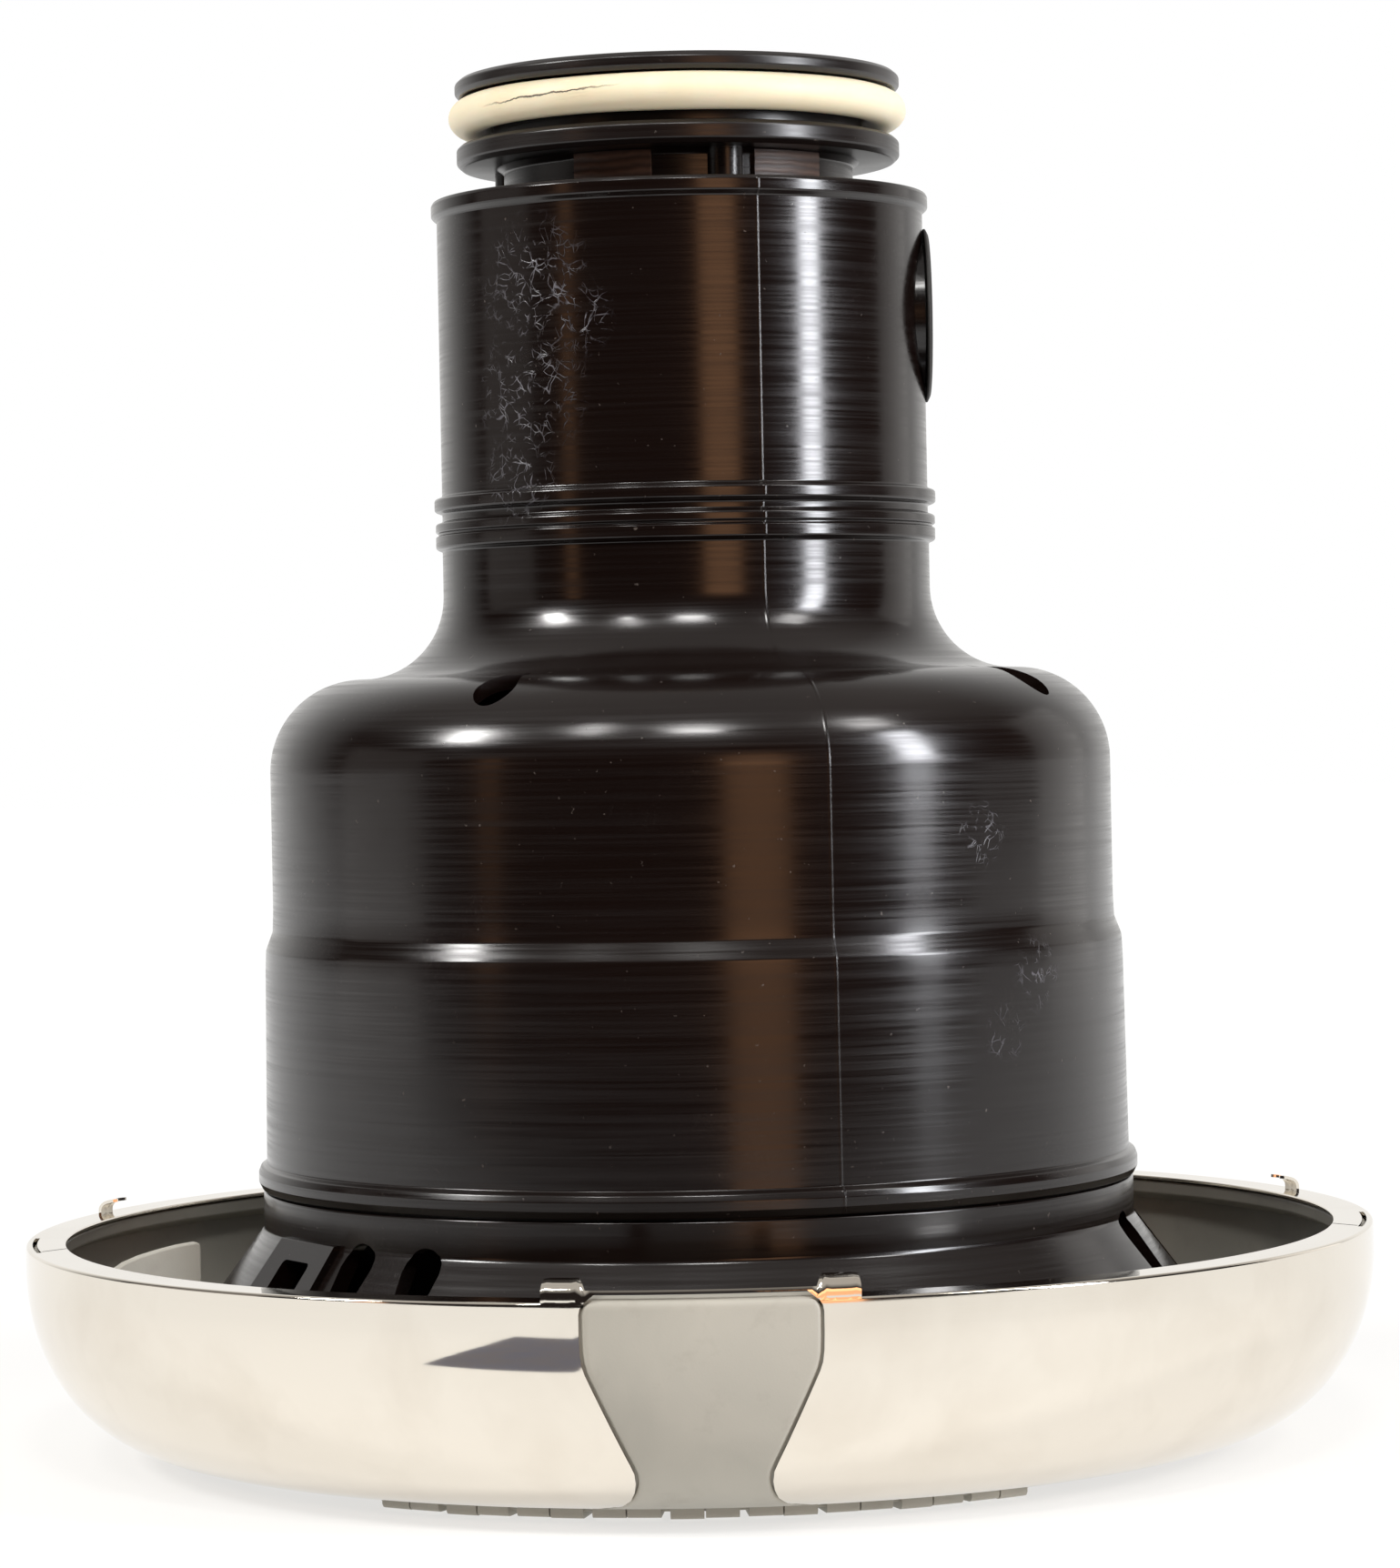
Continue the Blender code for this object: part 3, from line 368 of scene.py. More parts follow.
def grey_moulding():
    """Textured grey polypropylene: fine mould grain, faint flow marks and a little rubbed dirt."""
    material, tree, shader, place = start_material(
        "grey_polypropylene", {"IOR": 1.49, "Specular IOR Level": 0.45})
    grain_size, flow_size, dirt_size = 0.45 * MM, 38 * MM, 9 * MM
    grain = add(tree, "TexNoise", {"Vector": place, "Scale": 1 / grain_size, "Detail": 3.0})
    flow = add(tree, "TexNoise",
               {"Vector": place, "Scale": 1 / flow_size, "Detail": 4.0, "Distortion": 1.0})
    dirt = add(tree, "TexNoise",
               {"Vector": place, "Scale": 1 / dirt_size, "Detail": 7.0, "Roughness": 0.65})
    cloudy = add(tree, "MapRange", {"Value": flow, "From Min": 0.3, "From Max": 0.7})
    rubbed = add(tree, "MapRange", {"Value": dirt, "From Min": 0.56, "From Max": 0.78, "To Max": 0.35})
    body = add(tree, "Mix", {"Factor": cloudy, "A": "a3a096", "B": "afaba0"}, data_type="RGBA")
    worn = add(tree, "Mix", {"Factor": rubbed, "A": body, "B": "8d857a"}, data_type="RGBA")
    matt = add(tree, "MapRange", {"Value": dirt, "To Min": 0.42, "To Max": 0.58})
    texture = add(tree, "Bump", {"Height": grain, "Strength": 0.35, "Distance": 0.05 * MM})
    wire(tree, shader, Base_Color=worn, Roughness=matt, Normal=texture)
    return material


def window_pad(direction):
    """A pad that follows the bowl's outside and fills the window, with rounded edges."""
    outer = [(r, z) for r, z, _ in bowl_curve(0.05, -86, 0, 30)]
    outer += [(RIM_R - 0.05, z) for z in (42.6, 43.8, 44.8, 45.6, 46.2)]
    outer += [(RIM_R - 0.25, 46.9), (RIM_R - 0.7, 47.45), (RIM_R - 1.3, 47.75), (RIM_R - 2.2, 47.8),
              (143.0, 47.8), (141.0, 47.8), (139.6, 47.8)]
    edge, depth, columns, bm = 0.9, 2.4, 36, bmesh.new()
    front = Matrix.Rotation(math.radians(direction - FRONT), 4, "Z")
    rows = []
    for i, (r, z) in enumerate(outer):
        before, after = outer[max(0, i - 1)], outer[min(len(outer) - 1, i + 1)]
        slope = Vector((after[0] - before[0], after[1] - before[1])).normalized()
        inwards = Vector((-slope.y, slope.x))
        wide = window_half_width(min(z, 46.4 if r < RIM_R - 1 else z))
        line = []
        for j in range(columns + 1):
            t = -1 + 2 * j / columns
            t = math.sin(t * math.pi / 2) if abs(t) < 1 else t
            x = t * wide
            gap = wide - abs(x)
            sink = edge - math.sqrt(max(0.0, edge ** 2 - (edge - gap) ** 2)) if gap < edge else 0.0
            line.append((x, r + inwards.x * sink, z + inwards.y * sink))
        for x_end, side in ((wide, 1), (-wide, -1)):
            wall = (x_end, r + inwards.x * depth, z + inwards.y * depth)
            line = line + [wall] if side > 0 else [wall] + line
        rows.append([bm.verts.new(front @ Vector((x, -math.sqrt(max(1.0, rr * rr - x * x)), zz)))
                     for x, rr, zz in line])
    for here, beyond in zip(rows, rows[1:]):
        for j in range(len(here)):
            k = (j + 1) % len(here)
            bm.faces.new((here[j], here[k], beyond[k], beyond[j]))
    for end in (rows[0], rows[-1]):
        bm.faces.new(end)
    return bm


grey = grey_moulding()
rim_top = RIM_Z - SKIN
floor_low = BOWL_Z - BOWL_HIGH + SKIN
floor_high = floor_low + DISH_WALL
dish_outline = rounded(
    [(16, floor_low, 0.6)] + bowl_curve(SKIN, -90, 0)
    + [(RIM_R - SKIN, rim_top, 0.8), (RIM_INNER_R + 0.6, rim_top, 0.5),
       (RIM_INNER_R + 0.6, rim_top - 3, 0.8)]
    + bowl_curve(SKIN + DISH_WALL, 0, -90) + [(16, floor_high, 0.6)])
dish = make("grey_dish", turn(bmesh.new(), dish_outline, 288), grey)
boss_outline = rounded([(2.1, floor_low + 1, 0), (4.6, floor_low + 1, 0), (4.6, 12.2, 0.6),
                        (2.1, 12.2, 0.3)])
for i in range(4):
    bore = [(2.1 * math.cos(a / 3), 2.1 * math.sin(a / 3)) for a in range(19)]
    spot = Matrix.Translation(polar(SCREW_R, 45 + 90 * i))
    combine(dish, prism(bmesh.new(), bore, -5, 20, spot))
    boss = turn(bmesh.new(), boss_outline, 40)
    bmesh.ops.transform(boss, matrix=spot, verts=boss.verts)
    combine(dish, boss, "UNION")
reset_outline = [(RESET_X + 8 * math.cos(a / 8), RESET_Y + 8 * math.sin(a / 8)) for a in range(50)]
combine(dish, prism(bmesh.new(), reset_outline, -5, 12))
for degrees in (-20, 20, 160, 200):
    web = [(-0.9, 19), (0.9, 19), (0.9, 94), (-0.9, 94)]
    combine(dish, prism(bmesh.new(), web, floor_high - 0.5, floor_high + 3.2,
                        around(degrees - 90)), "UNION")
fit(dish, "grey_plastic", "base_dish")
for name, direction in (("front", FRONT), ("rear", REAR)):
    pad = make(f"window_pad_{name}", window_pad(direction), grey)
    fit(pad, "grey_plastic", "base_dish")

upright = Matrix(((1, 0, 0, 0), (0, 0, -1, 0), (0, 1, 0, 0), (0, 0, 0, 1)))
fin_section = [(r, z) for r, z, _ in bowl_curve(SKIN + 1, -70, -8, 10)]
fin_section += [(142.2, 43.0), (138.0, 45.6), (134.5, 47.6), (131.0, 48.8), (127.0, 49.7),
                (122.5, 50.5), (118.4, 50.9), (117.6, 50.4), (117.5, 49.4), (117.5, 26.0)]
fin = make("dish_fin", prism(bmesh.new(), fin_section, -1.1, 1.1, around(FRONT - 63) @ upright), grey)
fin_edge = fin.modifiers.new("edge", "BEVEL")
fin_edge.width = 0.45 * MM
fin_edge.segments = 3
fin_edge.limit_method = "ANGLE"
fit(fin, "grey_plastic", "base_dish")


# ------------------------------------------------------------------ feet
# Two arc-shaped pads under the dish, moulded in the same grey plastic. Each has blunt lugs in
# pairs with a saw-thin gap between the two of a pair, and their lower edges are a little worn.

FOOT_R = 112.0
LUGS = 9
FOOT_HALF_ANGLE = 36.0


def foot(direction):
    bm = bmesh.new()
    strip = rounded([(99, 1.6, 0.2), (111.2, 1.6, 0.2), (111.2, 3.7, 0), (99, 3.7, 0)], 2)
    turn(bm, strip, 72, direction - FOOT_HALF_ANGLE, 2 * FOOT_HALF_ANGLE)
    pitch = 2 * FOOT_HALF_ANGLE / LUGS
    for i in range(LUGS):
        for half in range(2):
            worn = 0.35 * abs(math.sin(2.1 * i + 3.7 * half + direction))
            lug = rounded([
                (101.2, worn, 0.7), (FOOT_R - 1, worn, 0), (FOOT_R - 0.4, worn + 0.2, 0),
                (FOOT_R, worn + 0.9, 0), (FOOT_R, 3.4, 0.1), (100, 3.4, 0.1),
                (100, worn + 0.9, 0.2)], 3)
            start = direction - FOOT_HALF_ANGLE + pitch * (i + 0.06 + 0.45 * half)
            turn(bm, lug, 6, start, pitch * 0.43)
    return bm


for name, direction in (("front", FRONT), ("rear", REAR)):
    feet = make(f"feet_{name}", foot(direction), grey)
    fit(feet, "grey_plastic", f"foot_pad_{name}")


# ------------------------------------------------------------------ skirt
# The lower end bell, moulded in black ABS. Its spigot fits up into the casing, its shelf holds
# the motor, and its cone has cooling slots round the sides and back. It shines, with flow lines.


def black_abs(name, streaks=0.5, dullness=0.14):
    """Glossy black ABS: a warm near-black, level flow lines, dust in the gloss and hairlines."""
    material, tree, shader, place = start_material(name, {"IOR": 1.5, "Specular IOR Level": 0.52})
    cloud_size, line_height, dust_size, hair_size = 44 * MM, 0.7 * MM, 1.3 * MM, 7 * MM
    clouds = add(tree, "TexNoise", {"Vector": place, "Scale": 1 / cloud_size, "Detail": 3.0})
    tone = add(tree, "Mix", {"Factor": clouds, "A": "130a07", "B": "0c0605"}, data_type="RGBA")
    level = add(tree, "Mapping", {"Vector": place, "Scale": (17, 17, 1 / line_height)})
    lines = add(tree, "TexNoise", {"Vector": level, "Scale": 1.0, "Detail": 4.0, "Roughness": 0.6})
    dust = add(tree, "TexNoise", {"Vector": place, "Scale": 1 / dust_size, "Detail": 2.0})
    specks = add(tree, "MapRange", {"Value": dust, "From Min": 0.73, "From Max": 0.8})
    bent = add(tree, "TexNoise", {"Vector": place, "Scale": 1 / hair_size, "Detail": 1.0})
    warped = add(tree, "VectorMath",
                 {0: place, 1: (0.012, 0.012, 0.012), 2: bent}, operation="MULTIPLY_ADD")
    shifted = add(tree, "VectorMath", {0: place, 1: warped}, operation="ADD")
    cells = add(tree, "TexVoronoi",
                {"Vector": shifted, "Scale": 1 / hair_size}, feature="DISTANCE_TO_EDGE")
    hairs = add(tree, "MapRange",
                {"Value": cells, "From Min": 0.0, "From Max": 0.012, "To Min": 1.0, "To Max": 0.0})
    few = add(tree, "MapRange", {"Value": clouds, "From Min": 0.57, "From Max": 0.66})
    hairlines = add(tree, "Math", {0: hairs, 1: few}, operation="MULTIPLY")
    lined = add(tree, "MapRange",
                {"Value": lines, "From Min": 0.35, "From Max": 0.66, "To Min": dullness,
                 "To Max": dullness + 0.16 * streaks})
    dulled = add(tree, "Math", {0: hairlines, 1: 0.22, 2: lined}, operation="MULTIPLY_ADD")
    gloss = add(tree, "Math", {0: specks, 1: 0.18, 2: dulled}, operation="MULTIPLY_ADD")
    marked = add(tree, "Mix", {"Factor": hairlines, "A": tone, "B": "37302d"}, data_type="RGBA")
    dusty = add(tree, "Mix", {"Factor": specks, "A": marked, "B": "4a423d"}, data_type="RGBA")
    swell = add(tree, "Bump", {"Height": clouds, "Strength": 0.2, "Distance": 0.5 * MM})
    flow = add(tree, "Bump",
               {"Height": lines, "Strength": 0.3 * streaks, "Distance": 0.02 * MM, "Normal": swell})
    wire(tree, shader, Base_Color=dusty, Roughness=gloss, Normal=flow)
    return material, tree, shader, place, dusty, gloss, flow


def slot_outline(width, low, high, steps=8):
    """A slot with a round top and a narrower round foot."""
    top_r, foot_r, points = width / 2, width / 3.4, []
    for i in range(steps + 1):
        half_turn = math.pi * i / steps
        points.append((top_r * math.cos(half_turn), high - top_r + top_r * math.sin(half_turn)))
    for i in range(steps + 1):
        half_turn = math.pi * (1 + i / steps)
        points.append((foot_r * math.cos(half_turn), low + foot_r + foot_r * math.sin(half_turn)))
    return points


skirt_black = black_abs("black_abs_skirt", 0.7)[0]
skirt_outline = rounded([
    (87.8, 69, 0.4), (90.6, 69, 0.4), (90.6, 57.2, 0), (95.2, 57.2, 0.5), (95.2, 49, 1.8),
    (119.4, 16.6, 0.8), (121, 15.6, 0.4), (121, 12.6, 0.4), (95, 12.6, 0), (95, 15.2, 0),
    (115.4, 15.2, 0.6), (91.8, 47.4, 1), (91.8, 52, 1), (86, 57, 0.5), (70, 57, 0.4),
    (70, 62.4, 0.4), (87.8, 62.4, 0.3)])
skirt = make("vented_skirt", turn(bmesh.new(), skirt_outline), skirt_black)
panel = rounded([(94, 50.0, 0), (96.6, 49.8, 0.4), (120.6, 17.4, 0.4), (118, 16.8, 0)], 3)
combine(skirt, turn(bmesh.new(), panel, 1, FRONT - 66.5, 14.5), "UNION")
for degrees in [FRONT - 36, FRONT - 47] + [FRONT + 72 + 15 * i for i in range(14)]:
    combine(skirt, prism(bmesh.new(), slot_outline(9.8, 29, 51), 80, 125, facing(degrees)))
hatch = rounded([(-6, 25, 1.2), (6, 25, 1.2), (6, 46, 1.2), (-6, 46, 1.2)], 3)
combine(skirt, prism(bmesh.new(), hatch, 80, 125, facing(FRONT - 59)))
for i in range(4):
    for radius, low, high, bore_r in ((79.5, 40, 80, 2.5), (SCREW_R, 5, 20, 2.1)):
        bore = [(bore_r * math.cos(a / 3), bore_r * math.sin(a / 3)) for a in range(19)]
        spot = Matrix.Translation(polar(radius, 45 + 90 * i))
        combine(skirt, prism(bmesh.new(), bore, low, high, spot))
fit(skirt, "black_plastic", "lower_skirt")


# ------------------------------------------------------------------ electrics and motor
# Standard bought-in parts inside the skirt and the casing: laminated cores with enamelled
# windings between two cast end frames, a ground shaft in bushes, and the switch and capacitor.


def plain_stock(name, dark, light, metal, roughness, grain, streak, relief, extra=None):
    """Stock material. Its tone, gloss and relief vary together in a grain of real size, and
    streak is how many times longer the grain runs about the axis than up it."""
    constants = {"Metallic": metal}
    constants.update(extra or {})
    material, tree, shader, place = start_material(name, constants)
    step = 1 / (grain * MM)
    sized = add(tree, "Mapping", {"Vector": place, "Scale": (step / streak, step / streak, step)})
    marks = add(tree, "TexNoise", {"Vector": sized, "Scale": 1.0, "Detail": 5.0, "Roughness": 0.6})
    stains = add(tree, "TexNoise", {"Vector": place, "Scale": 1 / (14 * MM), "Detail": 4.0})
    both = add(tree, "Math", {0: marks, 1: stains}, operation="MULTIPLY")
    spread = add(tree, "MapRange", {"Value": both, "From Min": 0.14, "From Max": 0.38})
    tone = add(tree, "Mix", {"Factor": spread, "A": dark, "B": light}, data_type="RGBA")
    gloss = add(tree, "MapRange",
                {"Value": marks, "From Min": 0.3, "From Max": 0.7, "To Min": roughness - 0.07,
                 "To Max": roughness + 0.07})
    bump = add(tree, "Bump", {"Height": marks, "Strength": 0.6, "Distance": relief * MM})
    wire(tree, shader, Base_Color=tone, Roughness=gloss, Normal=bump)
    return material


def dress(material, *names):
    """Carried nodes keep their shape and take this finish."""
    for name in names:
        data = nodes[name].data
        data.materials.clear()
        data.materials.append(material)


def laminations():
    """Varnished steel laminations: sheet on sheet. Real ones are 0.5 mm, and these are 0.9."""
    material, tree, shader, place = start_material("varnished_laminations", {"Metallic": 0.85})
    sheets = add(tree, "TexWave",
                 {"Vector": place, "Scale": WAVE_PERIOD / (1.8 * MM), "Distortion": 0.15,
                  "Detail": 1.0}, wave_type="BANDS", bands_direction="Z")
    varnish = add(tree, "TexNoise", {"Vector": place, "Scale": 1 / (7 * MM), "Detail": 5.0})
    dull = add(tree, "Mix", {"Factor": varnish, "A": "3a3a3e", "B": "57514c"}, data_type="RGBA")
    tone = add(tree, "Mix", {"Factor": sheets, "A": dull, "B": "77777a"}, data_type="RGBA")
    gloss = add(tree, "MapRange", {"Value": varnish, "To Min": 0.3, "To Max": 0.6})
    bump = add(tree, "Bump", {"Height": sheets, "Strength": 0.7, "Distance": 0.12 * MM})
    wire(tree, shader, Base_Color=tone, Roughness=gloss, Normal=bump)
    return material


def winding():
    """Enamelled copper wire laid in turns 1.8 mm apart about the axis, under a thin varnish."""
    material, tree, shader, place = start_material("enamelled_copper",
                                                   {"Metallic": 0.9, "Coat Weight": 0.35,
                                                    "Coat Roughness": 0.2})
    wires = add(tree, "TexWave",
                {"Vector": place, "Scale": WAVE_PERIOD / (1.8 * MM), "Distortion": 1.2, "Detail": 2.0,
                 "Detail Scale": 0.6}, wave_type="RINGS", rings_direction="Z")
    layers = add(tree, "TexWave",
                 {"Vector": place, "Scale": WAVE_PERIOD / (1.8 * MM), "Distortion": 0.8,
                  "Detail": 1.0}, wave_type="BANDS", bands_direction="Z")
    turns = add(tree, "Math", {0: wires, 1: layers}, operation="MULTIPLY")
    tone = add(tree, "Mix", {"Factor": turns, "A": "5d2512", "B": "c9764a"}, data_type="RGBA")
    gloss = add(tree, "MapRange", {"Value": turns, "To Min": 0.5, "To Max": 0.28})
    bump = add(tree, "Bump", {"Height": turns, "Strength": 0.8, "Distance": 0.25 * MM})
    wire(tree, shader, Base_Color=tone, Roughness=gloss, Normal=bump)
    return material


inner_black = plain_stock("moulded_black", "16120f", "24201d", 0.0, 0.38, 0.5, 1, 0.04)
dress(inner_black, "bottom_cover", "overload_protector", "start_capacitor")
dress(plain_stock("red_pbt", "8d140f", "b3221a", 0.0, 0.32, 0.5, 1, 0.03), "reset_button")
dress(plain_stock("natural_nylon", "cfc8b6", "e2dccd", 0.0, 0.45, 0.6, 1, 0.04,
                  {"Subsurface Weight": 0.08, "Subsurface Scale": 0.002}),
      "terminal_block", "cooling_fan")
dress(plain_stock("zinc_plated_steel", "8f9092", "c3c3c1", 1.0, 0.33, 0.5, 1, 0.02),
      "earth_screw", "tie_bolt_1", "tie_bolt_2", "tie_bolt_3", "tie_bolt_4", "reset_spring",
      "dish_screw_1", "dish_screw_2", "dish_screw_3", "dish_screw_4")
dress(plain_stock("die_cast_aluminium", "8b8c8e", "b5b5b4", 1.0, 0.48, 0.8, 1, 0.12),
      "upper_end_frame", "lower_end_frame")
dress(plain_stock("sintered_bronze", "7c5a2d", "b08a4e", 1.0, 0.5, 0.4, 1, 0.06),
      "upper_bush", "lower_bush", "thrust_washer")
dress(laminations(), "stator_core", "rotor_core")
dress(winding(), "winding_upper", "winding_lower")
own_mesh(nodes["reset_spring"])
dress(plain_stock("ground_steel", "a3a3a4", "d2d1cf", 1.0, 0.22, 0.35, 60, 0.02), "motor_shaft")


# ------------------------------------------------------------------ grinding chamber
# Stainless liner, shredder ring and turntable with two swinging lugs, all turned or stamped, so
# their marks run round the axis. Rubber seals keep the water in the chamber and off the bearing.

dress(plain_stock("stamped_stainless", "9b9a97", "cbc9c4", 1.0, 0.3, 0.35, 70, 0.03),
      "grind_liner", "shredder_ring", "turntable", "turntable_nut", "swivel_lug_a",
      "swivel_lug_b", "lug_pin_a", "lug_pin_b")
black_rubber = plain_stock("black_nitrile", "151413", "25231f", 0.0, 0.62, 0.35, 1, 0.05)
dress(black_rubber, "chamber_gasket", "shaft_seal", "water_slinger")


# ------------------------------------------------------------------ casing
# One tall moulding in glossy black ABS: hopper wall with two ribs, flare, shoulder with four
# vents, and the motor barrel with its rolled foot. A mould line runs down it, and it is scuffed.

HOPPER_R = 53.3
MOTOR_R = 92.0
HOPPER_FOOT_Z = 195.6
FLARE_Z = 186.0
FLARE_ARC = 18.0
SHOULDER_ARC = 20.0
OUTLET_Z = 245.6
MOULD_LINE = FRONT + 17.8
SCUFFED_PLACES = [  # x, y, z and radius of each patch
    (-33, -42, 228, 16), (-32, -43, 251, 16), (-35, -40, 210, 11), (-22, -49, 243, 9),
    (60, -69, 133, 8), (71, -60, 104, 9), (63, -68, 92, 7)]


def scuffed_casing():
    """The casing's ABS, with its mould line and the scuffs on the hopper's left and the barrel."""
    material, tree, shader, place, tone, gloss, flow = black_abs("black_abs_casing", 0.7)
    across = (-math.sin(math.radians(MOULD_LINE)), math.cos(math.radians(MOULD_LINE)), 0)
    aside = add(tree, "VectorMath", {0: place, 1: across}, operation="DOT_PRODUCT")
    off_line = add(tree, "Math", {0: aside.outputs["Value"]}, operation="ABSOLUTE")
    ridge = add(tree, "MapRange",
                {"Value": off_line, "From Min": 0.1 * MM, "From Max": 0.42 * MM, "To Min": 1.0,
                 "To Max": 0.0})
    parted = add(tree, "Bump", {"Height": ridge, "Strength": 0.8, "Distance": 0.12 * MM, "Normal": flow})
    warp = add(tree, "TexNoise", {"Vector": place, "Scale": 1 / (9 * MM), "Detail": 2.0})
    bent = add(tree, "VectorMath",
               {0: warp.outputs["Color"], 1: (8 * MM, 8 * MM, 8 * MM),
                2: place}, operation="MULTIPLY_ADD")
    layers = None
    for cell_size in (3.4, 4.8, 6.8):
        cells = add(tree, "TexVoronoi",
                    {"Vector": bent, "Scale": 1 / (cell_size * MM)}, feature="DISTANCE_TO_EDGE")
        thin = add(tree, "MapRange",
                   {"Value": cells, "From Min": 0.003, "From Max": 0.024, "To Min": 1.0, "To Max": 0.0})
        if layers is None:
            layers = thin
        else:
            layers = add(tree, "Math", {0: layers, 1: thin}, operation="MAXIMUM")
    broken = add(tree, "TexNoise", {"Vector": place, "Scale": 1 / (3 * MM), "Detail": 4.0})
    kept = add(tree, "MapRange", {"Value": broken, "From Min": 0.46, "From Max": 0.6})
    strands = add(tree, "Math", {0: layers, 1: kept}, operation="MULTIPLY")
    total = None
    for x, y, z, reach in SCUFFED_PLACES:
        apart = add(tree, "VectorMath", {0: place, 1: (x * MM, y * MM, z * MM)}, operation="DISTANCE")
        patch = add(tree, "MapRange",
                    {"Value": apart.outputs["Value"], "From Min": 0.3 * reach * MM,
                     "From Max": reach * MM, "To Min": 1.0 if z > HOPPER_FOOT_Z else 0.7, "To Max": 0.0})
        if total is None:
            total = patch
        else:
            total = add(tree, "Math", {0: total, 1: patch}, operation="MAXIMUM")
    scuffs = add(tree, "Math", {0: total, 1: strands}, operation="MULTIPLY")
    pale = add(tree, "Mix", {"Factor": scuffs, "A": tone, "B": "6a686f"}, data_type="RGBA")
    rough = add(tree, "Math", {0: scuffs, 1: 0.3, 2: gloss}, operation="MULTIPLY_ADD")
    torn = add(tree, "Bump", {"Height": scuffs, "Strength": 0.5, "Distance": 0.08 * MM, "Normal": parted})
    wire(tree, shader, Base_Color=pale, Roughness=rough, Normal=torn)
    return material


def flare_and_shoulder(offset):
    """The casing's curve from the hopper out to the barrel, moved inwards by offset."""
    flare_r, shoulder_r = FLARE_ARC + offset, SHOULDER_ARC - offset
    shoulder_z = FLARE_Z - FLARE_ARC - SHOULDER_ARC
    flare = arc(HOPPER_R + 0.1 + FLARE_ARC, FLARE_Z, flare_r, flare_r, 180, 270, 20)
    shoulder = arc(MOTOR_R - SHOULDER_ARC, shoulder_z, shoulder_r, shoulder_r, 90, 0, 20)
    return flare + shoulder


def teardrop(radius, tail, steps=20):
    points = [(-tail, 0.0)]
    for i in range(steps + 1):
        swing = math.radians(-112 + 224 * i / steps)
        points.append((radius * math.cos(swing), radius * math.sin(swing)))
    return points


def disc(radius, steps=64):
    return [(radius * math.cos(2 * math.pi * i / steps),
             OUTLET_Z + radius * math.sin(2 * math.pi * i / steps)) for i in range(steps)]


casing_black = scuffed_casing()
hopper = [
    (39.1, 271, 0.4), (52.6, 271, 0.3), (53.2, 272, 0.3), (54.1, 272, 0.5), (54.5, 271.2, 0.5),
    (54.5, 268.9, 0.7), (HOPPER_R, 267.9, 0.7), (HOPPER_R, 207.6, 0.6), (55, 207, 0.7),
    (55, 204.4, 0.7), (HOPPER_R, 203.8, 0.6), (HOPPER_R, 202.1, 0.5), (54.8, 201.6, 0.7),
    (54.8, 199.8, 0.3), (54.2, 199.5, 0.2), (54.2, 199.1, 0.2), (54.8, 198.8, 0.3),
    (54.8, 196.2, 0.7), (HOPPER_R + 0.1, HOPPER_FOOT_Z, 0.5),
]
barrel = [
    (MOTOR_R, 118, 6), (MOTOR_R + 0.2, 113.4, 2), (93.7, 109.4, 2), (93.9, 105, 3), (94.4, 63.2, 0.5),
    (95.7, 62.5, 0.7), (96.2, 61.2, 0.7), (96.2, 59.2, 0.6), (95.4, 57.6, 0.5),
    (91.2, 57.6, 0.3), (91, 106.4, 1), (89.2, 114.4, 1),
]
top = [(HOPPER_R - 3, 267.6, 1.2), (39.1, 267.6, 0.4)]
casing_outline = rounded(hopper + flare_and_shoulder(0) + barrel
                         + list(reversed(flare_and_shoulder(3.0))) + top)
casing = make("motor_casing", turn(bmesh.new(), casing_outline, 288), casing_black)
combine(casing, prism(bmesh.new(), disc(16.9), 47.5, 52.9, facing(0)), "UNION")
combine(casing, prism(bmesh.new(), disc(19.4), 52.9, 60, facing(0)))
combine(casing, prism(bmesh.new(), disc(15.5), 40, 60, facing(0)))
for i in range(4):
    vent_place = around(FRONT - 29 + 90 * i) @ Matrix.Translation((82, 0, 0))
    combine(casing, prism(bmesh.new(), teardrop(4.6, 14.5), 150, 175, vent_place))
fit(casing, "black_plastic", "body_shell")


# ------------------------------------------------------------------ outlet washer
# A soft black rubber washer, pressed into the outlet for the waste pipe to seal against.

washer_outline = rounded([(13, 49.4, 0.5), (15, 49.4, 0.3), (15, 53.3, 0.3), (19, 53.3, 0.15),
                          (19, 53.8, 0.2), (17.8, 54.4, 0.5), (13, 54.4, 0.5)])
washer_mesh = turn(bmesh.new(), washer_outline, 120)
outlet_place = Matrix.Translation((0, 0, OUTLET_Z)) @ Matrix.Rotation(math.radians(90), 4, "Y")
bmesh.ops.transform(washer_mesh, matrix=outlet_place, verts=washer_mesh.verts)
washer = make("outlet_washer", washer_mesh, black_rubber)
fit(washer, "black_rubber", "outlet_gasket")


# ------------------------------------------------------------------ neck
# Black ABS inlet neck, held in the casing's top by a collar. Two flanges make the groove for
# the sealing ring, and half-round keys and ribbed pads below them guide it in the sink mount.

KEY_TURN = FRONT + 15.2
PAD_TURNS = [FRONT + 37.5, FRONT - 21.5, REAR + 37.5, REAR - 21.5]


